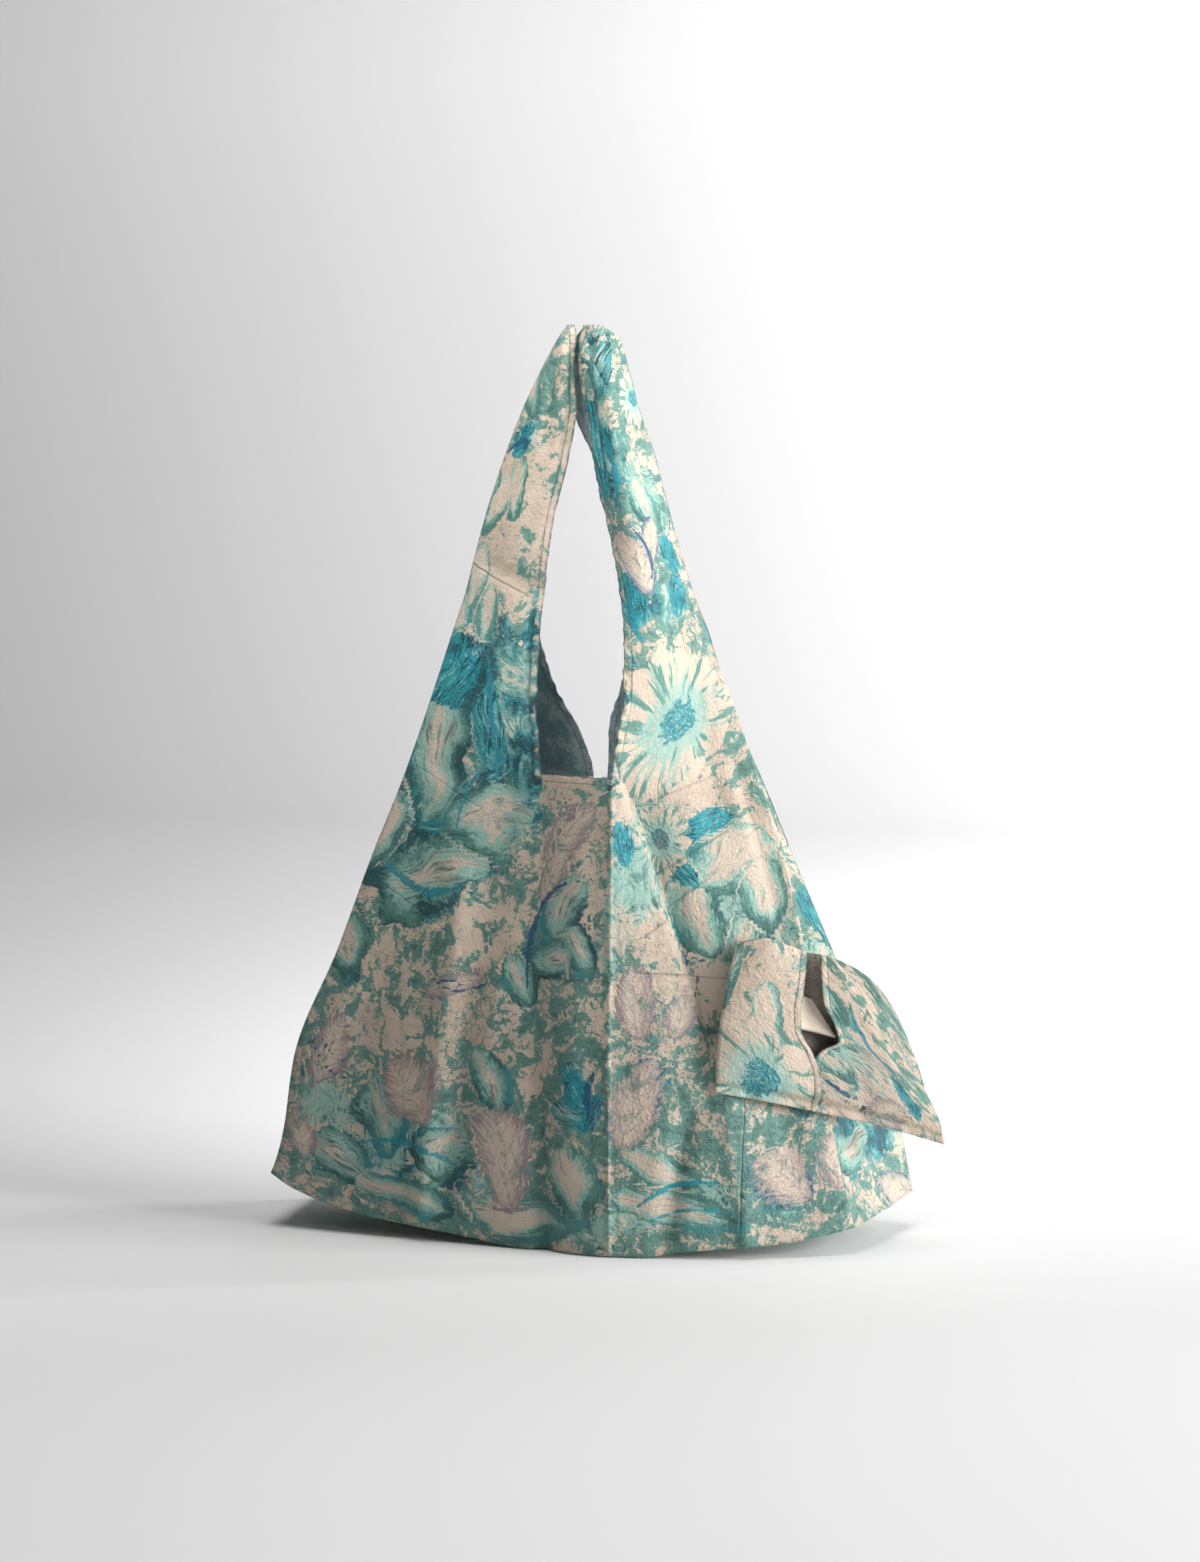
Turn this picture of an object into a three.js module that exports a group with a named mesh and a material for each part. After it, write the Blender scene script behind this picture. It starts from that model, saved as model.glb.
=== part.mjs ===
// A vest-shaped shopping bag of thin printed cloth, hanging open by the tops of its two handles.
// Millimetres, +Z up, +Y towards the back. The origin is under the middle of the base, on the floor.
import * as THREE from 'three';

// Cloth and seams
const CLOTH = 1.4;
const LABEL_TAPE = 1.2;
const SEAM_STEP = 1.7;
const FOOT = 0.3;

// Heights of the panels' rows, and how many cells lie below each one
const FRONT_NECK = 328;
const BACK_NECK = 312;
const GUSSET_TOP = 440;
const TOP = 636;
const BODY_CELLS = 15;
const SHOULDER_CELLS = 6;
const HANDLE_CELLS = 18;

// Cells across a side of a panel, across the strip under the neck, and across a gusset or base
const SIDE_CELLS = 8;
const STRIP_CELLS = 3;
const GUSSET_CELLS = 6;
const BASE_CELLS = 8;

// Front panel, a row for each level section: [x, y] of its edges, side swells and strip under the neck.
// Above the neck the strip's two lines are the inner hems of the handles.
const FRONT = [
  { z: 0, left: [-215, -48], swellL: [-112, -68], hemL: [-6, -76], hemR: [40, -92], swellR: [126, -79], right: [203, -48] },
  { z: 60, left: [-206, -45], swellL: [-108, -74], hemL: [-8, -71], hemR: [40, -95], swellR: [120, -80], right: [191, -45] },
  { z: 120, left: [-199, -42], swellL: [-102, -74], hemL: [-11, -66], hemR: [41, -95], swellR: [111, -78], right: [181, -42] },
  { z: 200, left: [-167, -37], swellL: [-90, -70], hemL: [-15, -58], hemR: [41, -91], swellR: [102, -71], right: [167, -37] },
  { z: 265, left: [-143, -34], swellL: [-78, -62], hemL: [-16, -51], hemR: [41, -88], swellR: [94, -64], right: [153, -34] },
  { z: 328, left: [-118, -30], swellL: [-67, -55], hemL: [-15, -45], hemR: [40, -85], swellR: [84, -58], right: [131, -30] },
  { z: 380, left: [-101, -23], swellL: [-60, -48], hemL: [-22, -39], hemR: [45, -68], swellR: [78, -50], right: [111, -23] },
  { z: 420, left: [-90, -12], swellL: [-56, -42], hemL: [-22, -36], hemR: [43, -57], swellR: [68, -46], right: [93, -12] },
  { z: 455, left: [-81, -1], swellL: [-50, -33], hemL: [-20, -32], hemR: [37, -49], swellR: [60, -41], right: [79, -1] },
  { z: 500, left: [-69, -1], swellL: [-40, -30], hemL: [-15, -27], hemR: [25, -38], swellR: [47, -34], right: [65, -1] },
  { z: 545, left: [-54, -1], swellL: [-22, -28], hemL: [-4, -19], hemR: [13, -28], swellR: [33, -30], right: [53, -1] },
  { z: 580, left: [-40, -1], swellL: [-15, -24], hemL: [1, -13], hemR: [12, -16], swellR: [26, -25], right: [41, -1] },
  { z: 610, left: [-25, -1], swellL: [-10, -15], hemL: [-3, -8], hemR: [8, -10], swellR: [19, -18], right: [33, -1] },
  { z: 626, left: [-16, -1], swellL: [-9, -7], hemL: [-3, -4], hemR: [5, -5], swellR: [14, -8], right: [28, -1] },
  { z: 636, left: [-9, -1], swellL: [-6.5, -1], hemL: [-4, -1], hemR: [3.5, -1], swellR: [9, -1], right: [14.5, -1] },
];

// Back panel, in the same columns: its neck is narrower and lower
const BACK = [
  { z: 0, left: [-212, 48], swellL: [-110, 74], hemL: [-20, 76], hemR: [34, 90], swellR: [134, 80], right: [231, 48] },
  { z: 60, left: [-204, 45], swellL: [-106, 84], hemL: [-20, 72], hemR: [33, 88], swellR: [130, 80], right: [223, 46] },
  { z: 120, left: [-196, 42], swellL: [-100, 78], hemL: [-19, 69], hemR: [30, 85], swellR: [120, 76], right: [207, 43] },
  { z: 200, left: [-165, 37], swellL: [-88, 72], hemL: [-18, 67], hemR: [24, 82], swellR: [100, 68], right: [173, 38] },
  { z: 265, left: [-141, 34], swellL: [-76, 65], hemL: [-17, 68], hemR: [18, 80], swellR: [86, 62], right: [146, 34] },
  { z: 312, left: [-124, 30], swellL: [-66, 58], hemL: [-7, 76], hemR: [4, 77], swellR: [78, 58], right: [127, 31] },
  { z: 345, left: [-112, 28], swellL: [-64, 52], hemL: [-15, 72], hemR: [5, 73], swellR: [70, 52], right: [113, 28] },
  { z: 380, left: [-101, 22], swellL: [-66, 46], hemL: [-33, 63], hemR: [16, 64], swellR: [64, 47], right: [100, 22] },
  { z: 420, left: [-90, 12], swellL: [-64, 38], hemL: [-41, 50], hemR: [27, 50], swellR: [62, 40], right: [90, 12] },
  { z: 455, left: [-81, 1], swellL: [-59, 31], hemL: [-41, 38], hemR: [30, 40], swellR: [58, 34], right: [79, 1] },
  { z: 500, left: [-69, 1], swellL: [-50, 27], hemL: [-34, 30], hemR: [20, 30], swellR: [44, 31], right: [65, 1] },
  { z: 545, left: [-54, 1], swellL: [-36, 22], hemL: [-18, 20], hemR: [5, 21], swellR: [30, 26], right: [53, 1] },
  { z: 580, left: [-40, 1], swellL: [-23, 18], hemL: [-10, 13], hemR: [-4, 15], swellR: [20, 22], right: [41, 1] },
  { z: 610, left: [-25, 1], swellL: [-17, 11], hemL: [-12, 8], hemR: [-6, 10], swellR: [14, 15], right: [33, 1] },
  { z: 626, left: [-16, 1], swellL: [-12, 5], hemL: [-8, 4], hemR: [-2, 5], swellR: [13, 8], right: [28, 1] },
  { z: 636, left: [-9, 1], swellL: [-6.5, 1], hemL: [-4, 1], hemR: [3.5, 1], swellR: [9, 1], right: [14.5, 1] },
];

// How high the bottom edge is lifted at its corners, and the height over which that dies away
const LIFT_REACH = 130;
const FRONT_LIFT = [
  { x: -215, lift: 38 }, { x: -197, lift: 28 }, { x: -151, lift: 15 }, { x: -103, lift: 9 },
  { x: -60, lift: 4 }, { x: -25, lift: 0 }, { x: 62, lift: 0 }, { x: 90, lift: 4 }, { x: 155, lift: 9 },
  { x: 181, lift: 13 }, { x: 203, lift: 18 },
];
const BACK_LIFT = [
  { x: -212, lift: 30 }, { x: -150, lift: 13 }, { x: -60, lift: 4 }, { x: -25, lift: 0 }, { x: 62, lift: 0 },
  { x: 95, lift: 4 }, { x: 190, lift: 13 }, { x: 231, lift: 25 },
];

// Soft folds pressed into the front, each along a straight line from (x1, z1) to (x2, z2)
const FRONT_FOLDS = [
  { name: 'pocket pull', x1: 47, z1: 322, x2: 104, z2: 147, width: 13, depth: 6 },
  { name: 'pressed crease', x1: 118, z1: 120, x2: 132, z2: 10, width: 8, depth: -3 },
  { name: 'left drape', x1: -38, z1: 330, x2: -70, z2: 60, width: 16, depth: 5 },
  { name: 'left handle crease', x1: -84, z1: 478, x2: -20, z2: 452, width: 8, depth: 2.5 },
];
const BACK_FOLDS = [
  { name: 'back drape', x1: 60, z1: 300, x2: 90, z2: 40, width: 18, depth: 5 },
  { name: 'back crease', x1: -60, z1: 280, x2: -100, z2: 60, width: 14, depth: 4 },
];

// How far the middle of each gusset is folded in; below zero it bows out
const RIGHT_TUCK = [
  { z: 0, tuck: -4 }, { z: 60, tuck: 2 }, { z: 120, tuck: 14 }, { z: 200, tuck: 34 },
  { z: 265, tuck: 38 }, { z: 331, tuck: 24 }, { z: 400, tuck: 6 }, { z: 440, tuck: 0 },
];
const LEFT_TUCK = [
  { z: 0, tuck: -6 }, { z: 60, tuck: 4 }, { z: 120, tuck: 18 }, { z: 200, tuck: 32 },
  { z: 265, tuck: 34 }, { z: 331, tuck: 22 }, { z: 400, tuck: 6 }, { z: 440, tuck: 0 },
];

// Pouch: the four edges of its back, as [x, y, z], sewn to the bag's side seam at the top
const POUCH_TOP = [
  [124, -67, 216], [141, -61, 219], [155, -51, 213], [165.8, -38.8, 207], [178, -37, 205],
  [194, -34, 199], [211, -31, 187], [224, -28, 171],
];
const POUCH_BOTTOM = [[112, -83, 115], [143, -70, 108], [179, -52, 98], [220, -36, 87], [261, -20, 73]];
const POUCH_LEFT = [[124, -67, 216], [119, -72, 197], [116, -76, 174], [113, -80, 147], [112, -83, 115]];
const POUCH_RIGHT = [[224, -28, 171], [234, -26, 150], [242, -24, 129], [248, -23, 110], [257, -21, 89], [261, -20, 73]];
const POUCH_FACE = new THREE.Vector3(0.43, -0.9, 0.05).normalize();
const POUCH_LAYER = 1.9;
const POUCH_PUFF = 9;
const POUCH_ROWS = 9;
const LEAF_CELLS = 6;
const FOLD_CELLS = 3;
const POUCH_BACK_CELLS = 10;

// Where the two front leaves of the pouch end, as a part of its width, from the top (v = 0) down
const LEFT_LIP = [
  { v: 0, u: 0.40 }, { v: 0.2, u: 0.30 }, { v: 0.45, u: 0.34 }, { v: 0.65, u: 0.43 }, { v: 0.8, u: 0.45 }, { v: 1, u: 0.44 },
];
const RIGHT_LIP = [
  { v: 0, u: 0.55 }, { v: 0.3, u: 0.53 }, { v: 0.45, u: 0.61 }, { v: 0.55, u: 0.61 }, { v: 0.66, u: 0.46 }, { v: 1, u: 0.40 },
];

// Folded label sewn inside the pouch: where its corners lie on the pouch, and how far each stands forward
const LABEL_CORNERS = {
  topLeft: { x: 164, z: 178, forward: 2.1 },
  topRight: { x: 178, z: 174, forward: 2.4 },
  lowLeft: { x: 162, z: 158, forward: 7 },
  lowRight: { x: 183, z: 152, forward: 8 },
};
const LABEL_CELLS = 4;

// Value of column at place along a table, as a smooth curve that never overshoots its rows.
function follow(table, key, place, read) {
  const last = table.length - 2;
  let i = 0;
  while (i < last && place > table[i + 1][key]) {
    i += 1;
  }
  const slope = (k) => (read(table[k + 1]) - read(table[k])) / (table[k + 1][key] - table[k][key]);
  const tangent = (k) => {
    if (k < 1 || k > last) {
      return slope(Math.min(k, last));
    }
    const before = slope(k - 1);
    const after = slope(k);
    return before * after > 0 ? (2 * before * after) / (before + after) : 0;
  };
  const span = table[i + 1][key] - table[i][key];
  const t = Math.min(Math.max((place - table[i][key]) / span, 0), 1);
  const rise = read(table[i + 1]) - read(table[i]);
  const ease = t * t * (3 - 2 * t);
  const start = t * (1 - t) * (1 - t) * span * tangent(i);
  const end = t * t * (1 - t) * span * tangent(i + 1);
  return read(table[i]) + rise * ease + start - end;
}

// Even steps from one number to another, without the last one.
function steps(from, to, cells) {
  return Array.from({ length: cells }, (_, i) => from + ((to - from) * i) / cells);
}

// Unit normals of a grid of points, one for each point, from the cells that are kept around it.
function gridNormals(points, keep) {
  const normals = points.map((row) => row.map(() => new THREE.Vector3()));
  for (let r = 0; r + 1 < points.length; r += 1) {
    for (let c = 0; c + 1 < points[r].length; c += 1) {
      if (keep(r, c)) {
        const across = points[r][c + 1].clone().sub(points[r][c]).add(points[r + 1][c + 1]).sub(points[r + 1][c]);
        const up = points[r + 1][c].clone().sub(points[r][c]).add(points[r + 1][c + 1]).sub(points[r][c + 1]);
        const normal = across.cross(up).normalize();
        normals[r][c].add(normal);
        normals[r][c + 1].add(normal);
        normals[r + 1][c].add(normal);
        normals[r + 1][c + 1].add(normal);
      }
    }
  }
  normals.forEach((row) => row.forEach((normal) => normal.normalize()));
  return normals;
}

// Closed solid of a cloth sheet: a grid of points thickened to both sides, with its rim closed.
// keep(r, c) says which cells are cloth, so that a panel can have an open neck.
function sheetGeometry(points, thickness, keep = () => true) {
  const normals = gridNormals(points, keep);
  const width = points[0].length;
  const count = points.length * width;
  const positions = [];
  for (const side of [1, -1]) {
    points.forEach((row, r) => row.forEach((point, c) => {
      const place = point.clone().addScaledVector(normals[r][c], (side * thickness) / 2);
      positions.push(place.x, place.y, place.z);
    }));
  }
  const index = [];
  const quad = (a, b, c, d) => index.push(a, b, c, a, c, d);
  const cloth = (r, c) => r >= 0 && c >= 0 && r + 1 < points.length && c + 1 < width && keep(r, c);
  for (let r = 0; r + 1 < points.length; r += 1) {
    for (let c = 0; c + 1 < width; c += 1) {
      if (cloth(r, c)) {
        const low = r * width + c;
        const high = low + width;
        quad(low, low + 1, high + 1, high);
        quad(low + count, high + count, high + 1 + count, low + 1 + count);
        if (!cloth(r - 1, c)) {
          quad(low, low + count, low + 1 + count, low + 1);
        }
        if (!cloth(r + 1, c)) {
          quad(high + 1, high + 1 + count, high + count, high);
        }
        if (!cloth(r, c - 1)) {
          quad(high, high + count, low + count, low);
        }
        if (!cloth(r, c + 1)) {
          quad(low + 1, low + 1 + count, high + 1 + count, high + 1);
        }
      }
    }
  }
  const used = new Map();
  const kept = [];
  const packed = index.map((old) => {
    if (!used.has(old)) {
      used.set(old, used.size);
      kept.push(positions[3 * old], positions[3 * old + 1], positions[3 * old + 2]);
    }
    return used.get(old);
  });
  const geometry = new THREE.BufferGeometry();
  geometry.setAttribute('position', new THREE.Float32BufferAttribute(kept, 3));
  geometry.setIndex(packed);
  geometry.computeVertexNormals();
  return geometry;
}

// Depth of the soft folds at (x, z): each is a smooth trough that fades out past the ends of its line.
function foldDepth(folds, x, z) {
  let depth = 0;
  for (const fold of folds) {
    const run = new THREE.Vector2(fold.x2 - fold.x1, fold.z2 - fold.z1);
    const from = new THREE.Vector2(x - fold.x1, z - fold.z1);
    const along = THREE.MathUtils.clamp(from.dot(run) / run.lengthSq(), 0, 1);
    const off = from.sub(run.multiplyScalar(along)).length() / fold.width;
    depth += fold.depth * Math.exp(-off * off);
  }
  return depth;
}

// Grid of a panel's points, level by level, from its left edge to its right edge.
// Each side is a parabola through its edge, its swell and its hem line; the strip between the hems is straight.
function panelPoints(sections, neck, lifts, folds, inward) {
  const levels = [
    ...steps(0, neck, BODY_CELLS),
    ...steps(neck, GUSSET_TOP, SHOULDER_CELLS),
    ...steps(GUSSET_TOP, TOP, HANDLE_CELLS),
    TOP,
  ];
  const parabola = (s, a, b, c) => a * (1 - s) * (1 - 2 * s) + 4 * b * s * (1 - s) + c * s * (2 * s - 1);
  return levels.map((level) => {
    const line = (name, axis) => follow(sections, 'z', level, (row) => row[name][axis]);
    const side = (s, edge, swell, hem) => [0, 1].map((axis) => (
      parabola(s, line(edge, axis), line(swell, axis), line(hem, axis))));
    const strip = (s) => [0, 1].map((axis) => line('hemL', axis) * (1 - s) + line('hemR', axis) * s);
    const row = [
      ...steps(0, 1, SIDE_CELLS).map((s) => side(s, 'left', 'swellL', 'hemL')),
      ...steps(0, 1, STRIP_CELLS).map(strip),
      ...steps(1, 0, SIDE_CELLS).map((s) => side(s, 'right', 'swellR', 'hemR')),
      side(0, 'right', 'swellR', 'hemR'),
    ];
    const fade = Math.max(0, 1 - level / LIFT_REACH);
    const edgeEase = (c) => Math.min(1, c / 2, (row.length - 1 - c) / 2);
    return row.map(([x, y], c) => {
      const lift = follow(lifts, 'x', x, (corner) => corner.lift) * fade * fade;
      const z = level + lift + FOOT * fade;
      return new THREE.Vector3(x, y + inward * foldDepth(folds, x, z) * edgeEase(c), z);
    });
  });
}

// Cells of a panel that are cloth: all below the neck, and above it all but the strip.
function panelCloth(r, c) {
  const inStrip = c >= SIDE_CELLS && c < SIDE_CELLS + STRIP_CELLS;
  return r < BODY_CELLS || !inStrip;
}

// Level, unit direction from a panel's face into the bag, at one point of its grid.
function inwardNormals(points, inward) {
  return gridNormals(points, panelCloth).map((row) => row.map((normal) => {
    const level = new THREE.Vector3(normal.x, normal.y, 0).normalize();
    return level.y * inward < 0 ? level.negate() : level;
  }));
}

// Grid of a gusset: each row runs from just inside the front panel's edge to just inside the back panel's.
function gussetPoints(front, frontIn, back, backIn, column, tucks, outward) {
  const rows = BODY_CELLS + SHOULDER_CELLS + 1;
  return Array.from({ length: rows }, (_, r) => {
    const start = front[r][column].clone().addScaledVector(frontIn[r][column], SEAM_STEP);
    const end = back[r][column].clone().addScaledVector(backIn[r][column], SEAM_STEP);
    const tuck = follow(tucks, 'z', start.z, (row) => row.tuck);
    return Array.from({ length: GUSSET_CELLS + 1 }, (_, c) => {
      const v = c / GUSSET_CELLS;
      const point = start.clone().lerp(end, v);
      point.x -= outward * tuck * (1 - Math.abs(2 * v - 1));
      return point;
    });
  });
}

// Grid of the base, stretched between the bottom edges of the panels and gussets (a Coons patch).
function basePoints(front, frontIn, back, backIn, leftGusset, rightGusset) {
  const last = front[0].length - 1;
  const leftStep = new THREE.Vector3(SEAM_STEP, 0, 0);
  const rightStep = new THREE.Vector3(-SEAM_STEP, 0, 0);
  const edge = (panel, normals, u) => {
    const c = Math.round(u * last);
    const near = (share) => Math.max(0, 1 - 8 * share);
    return panel[0][c].clone()
      .addScaledVector(normals[0][c], SEAM_STEP)
      .addScaledVector(leftStep, near(u))
      .addScaledVector(rightStep, near(1 - u));
  };
  const side = (gusset, step, v) => {
    const place = v * GUSSET_CELLS;
    const c = Math.min(Math.floor(place), GUSSET_CELLS - 1);
    return gusset[0][c].clone().lerp(gusset[0][c + 1], place - c).add(step);
  };
  return Array.from({ length: BASE_CELLS + 1 }, (_, r) => {
    const v = r / BASE_CELLS;
    return Array.from({ length: last + 1 }, (_, c) => {
      const u = c / last;
      const point = coons(
        (s) => edge(front, frontIn, s), (s) => edge(back, backIn, s),
        (s) => side(leftGusset, leftStep, s), (s) => side(rightGusset, rightStep, s), u, v,
      );
      point.z += CLOTH / 2 - FOOT;
      return point;
    });
  });
}

// Point (u, v) of the patch between four edge curves: low and high run along u, left and right along v.
function coons(low, high, left, right, u, v) {
  const sum = new THREE.Vector3();
  const add = (point, share) => sum.addScaledVector(point, share);
  add(low(u), 1 - v);
  add(high(u), v);
  add(left(v), 1 - u);
  add(right(v), u);
  add(low(0), -(1 - u) * (1 - v));
  add(low(1), -u * (1 - v));
  add(high(0), -(1 - u) * v);
  add(high(1), -u * v);
  return sum;
}

const curve = (list) => new THREE.CatmullRomCurve3(list.map((place) => new THREE.Vector3(...place)));
const pouchEdges = {
  top: curve(POUCH_TOP), bottom: curve(POUCH_BOTTOM), left: curve(POUCH_LEFT), right: curve(POUCH_RIGHT),
};

// Point of the pouch's back at (u, v), v from its top edge down, moved forward off its face.
function pouchPlace(u, v, forward) {
  const { top, bottom, left, right } = pouchEdges;
  const place = coons(
    (s) => top.getPointAt(s), (s) => bottom.getPointAt(s), (s) => left.getPointAt(s), (s) => right.getPointAt(s), u, v,
  );
  return place.addScaledVector(POUCH_FACE, forward);
}

// One row of the pouch's single strip of cloth: left leaf, fold, back, fold, right leaf.
// along is a distance across the pouch; each fold is a half circle between the back and its leaf.
function pouchRow(v) {
  const width = pouchPlace(0, v, 0).distanceTo(pouchPlace(1, v, 0));
  const puff = POUCH_PUFF * Math.sin(Math.PI * Math.min(1, 0.12 + 0.8 * v));
  const swell = (u) => puff * Math.sin(Math.PI * THREE.MathUtils.clamp(u, 0, 1)) ** 0.7;
  const row = [];
  const add = (along, forward) => row.push(pouchPlace(along / width, v, forward));
  const leftRadius = POUCH_LAYER;
  const rightRadius = POUCH_LAYER / 2;
  const leftLip = follow(LEFT_LIP, 'v', v, (lip) => lip.u) * width;
  const rightLip = follow(RIGHT_LIP, 'v', v, (lip) => lip.u) * width;
  for (const along of steps(leftLip, leftRadius, LEAF_CELLS)) {
    add(along, 2 * POUCH_LAYER + swell((along - leftRadius) / width));
  }
  for (const turn of steps(0, Math.PI, FOLD_CELLS)) {
    add(leftRadius * (1 - Math.sin(turn)), leftRadius * (1 + Math.cos(turn)));
  }
  for (const along of steps(leftRadius, width - rightRadius, POUCH_BACK_CELLS)) {
    add(along, 0);
  }
  for (const turn of steps(0, Math.PI, FOLD_CELLS)) {
    add(width - rightRadius * (1 - Math.sin(turn)), rightRadius * (1 - Math.cos(turn)));
  }
  for (const along of [...steps(width - rightRadius, rightLip, LEAF_CELLS), rightLip]) {
    add(along, POUCH_LAYER + swell((width - rightRadius - along) / width));
  }
  return row;
}

// Label points: a tape between its four corners, curling forward from its sewn top edge.
function labelPoints() {
  const { topLeft, topRight, lowLeft, lowRight } = LABEL_CORNERS;
  const { left, bottom, top } = pouchEdges;
  const mix = (a, b, t) => a + (b - a) * t;
  const backPlace = (x, z) => {
    let u = 0.45;
    let v = 0.4;
    for (let round = 0; round < 20; round += 1) {
      const guess = pouchPlace(u, v, 0);
      u += (x - guess.x) / (bottom.getPointAt(1).x - bottom.getPointAt(0).x);
      v -= (z - guess.z) / (top.getPointAt(0).z - left.getPointAt(1).z);
    }
    return [u, v];
  };
  return Array.from({ length: LABEL_CELLS + 1 }, (_, r) => {
    const t = r / LABEL_CELLS;
    return Array.from({ length: LABEL_CELLS + 1 }, (_, c) => {
      const s = c / LABEL_CELLS;
      const at = (key) => mix(mix(topLeft[key], topRight[key], s), mix(lowLeft[key], lowRight[key], s), t);
      const forward = mix(at('forward'), topLeft.forward, (1 - t) * t);
      return pouchPlace(...backPlace(at('x'), at('z')), forward);
    });
  });
}

// Materials
const printCloth = new THREE.MeshStandardMaterial({ color: 0x9fb8a6, roughness: 0.8, metalness: 0 });
const labelCloth = new THREE.MeshStandardMaterial({ color: 0xe6e2d8, roughness: 0.7, metalness: 0 });

const bag = new THREE.Group();

function sew(name, geometry, material) {
  const mesh = new THREE.Mesh(geometry, material);
  mesh.name = name;
  bag.add(mesh);
}

// Panels, gussets and base
const front = panelPoints(FRONT, FRONT_NECK, FRONT_LIFT, FRONT_FOLDS, 1);
const back = panelPoints(BACK, BACK_NECK, BACK_LIFT, BACK_FOLDS, -1);
const frontIn = inwardNormals(front, 1);
const backIn = inwardNormals(back, -1);
const lastColumn = front[0].length - 1;
const leftGusset = gussetPoints(front, frontIn, back, backIn, 0, LEFT_TUCK, -1);
const rightGusset = gussetPoints(front, frontIn, back, backIn, lastColumn, RIGHT_TUCK, 1);
sew('front_panel', sheetGeometry(front, CLOTH, panelCloth), printCloth);
sew('back_panel', sheetGeometry(back, CLOTH, panelCloth), printCloth);
sew('gusset_left', sheetGeometry(leftGusset, CLOTH), printCloth);
sew('gusset_right', sheetGeometry(rightGusset, CLOTH), printCloth);
sew('base_panel', sheetGeometry(basePoints(front, frontIn, back, backIn, leftGusset, rightGusset), CLOTH), printCloth);

// Pouch and label
const pouchRows = [...steps(0, 1, POUCH_ROWS), 1].map(pouchRow);
sew('pouch', sheetGeometry(pouchRows, CLOTH), printCloth);
sew('label', sheetGeometry(labelPoints(), LABEL_TAPE), labelCloth);

export default bag;
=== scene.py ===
import math

import bpy
import numpy as np
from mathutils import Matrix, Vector


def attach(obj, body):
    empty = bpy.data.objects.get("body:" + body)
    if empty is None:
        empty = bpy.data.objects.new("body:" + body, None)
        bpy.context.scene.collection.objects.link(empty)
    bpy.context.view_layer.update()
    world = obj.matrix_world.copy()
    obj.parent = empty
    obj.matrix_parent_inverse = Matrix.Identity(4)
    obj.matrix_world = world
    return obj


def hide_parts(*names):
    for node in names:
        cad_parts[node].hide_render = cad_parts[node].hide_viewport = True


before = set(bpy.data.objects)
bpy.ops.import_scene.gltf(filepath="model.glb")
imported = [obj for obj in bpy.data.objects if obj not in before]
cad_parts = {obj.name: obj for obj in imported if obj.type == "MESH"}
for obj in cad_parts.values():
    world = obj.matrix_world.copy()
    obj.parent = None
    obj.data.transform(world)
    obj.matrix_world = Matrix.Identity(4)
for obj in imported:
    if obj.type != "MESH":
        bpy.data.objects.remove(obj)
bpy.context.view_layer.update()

# The studio: a sweep of pale paper that curves up behind the bag, seen through a long lens. A broad lamp
# stands at the right, a small one is aimed at the handles, one lights the floor and one the paper behind.
EYE = (0.5314, -2.4341, 0.5576)
LOOK_AT = (0.014, 0.0, 0.318)
LENS_LENGTH = 82.0
SENSOR_HEIGHT = 36.0


def stand(thing, place, aim):
    """Puts a camera or a lamp at place, turned to face the point aim."""
    thing.location = place
    thing.rotation_euler = (Vector(aim) - Vector(place)).to_track_quat("-Z", "Y").to_euler()
    bpy.context.scene.collection.objects.link(thing)


camera_data = bpy.data.cameras.new("camera")
camera_data.sensor_fit = "VERTICAL"
camera_data.sensor_height = SENSOR_HEIGHT
camera_data.lens = LENS_LENGTH
camera = bpy.data.objects.new("camera", camera_data)
stand(camera, EYE, LOOK_AT)
bpy.context.scene.camera = camera


def soft_lamp(name, place, aim, side, power, tint, spread=180):
    """A square lamp with sides in metres, its power in watts and its beam spread over an angle in degrees."""
    data = bpy.data.lights.new(name, "AREA")
    data.shape = "SQUARE"
    data.size = side
    data.energy = power
    data.color = tint
    data.spread = math.radians(spread)
    stand(bpy.data.objects.new(name, data), place, aim)


soft_lamp("window_lamp", (2.7, -0.48, 0.75), (0.0, 0.0, 0.25), 1.6, 119, (1.0, 0.992, 0.985))
soft_lamp("top_lamp", (-0.1, -1.2, 1.5), (-0.06, 0.0, 0.62), 0.4, 0.85, (1.0, 0.98, 0.95), 27)
soft_lamp("floor_lamp", (0.0, -0.4, 2.6), (0.0, -0.5, 0.0), 1.2, 7.8, (1.0, 0.99, 0.98), 85)
soft_lamp("paper_lamp", (2.0, 0.9, 1.5), (0.8, 3.8, 0.7), 1.4, 146, (1.0, 1.0, 1.0))

world = bpy.data.worlds.new("studio_air")
world.use_nodes = True
air = world.node_tree.nodes["Background"]
air.inputs["Color"].default_value = (1.0, 0.94, 0.88, 1.0)
air.inputs["Strength"].default_value = 0.02
bpy.context.scene.world = world
bpy.context.scene.view_settings.view_transform = "Standard"


def grid_quads(rows, columns):
    """The four corner numbers of every cell in a grid of points."""
    corner = np.arange(rows * columns).reshape(rows, columns)
    return np.stack([corner[:-1, :-1], corner[:-1, 1:], corner[1:, 1:], corner[1:, :-1]], -1)


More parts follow.
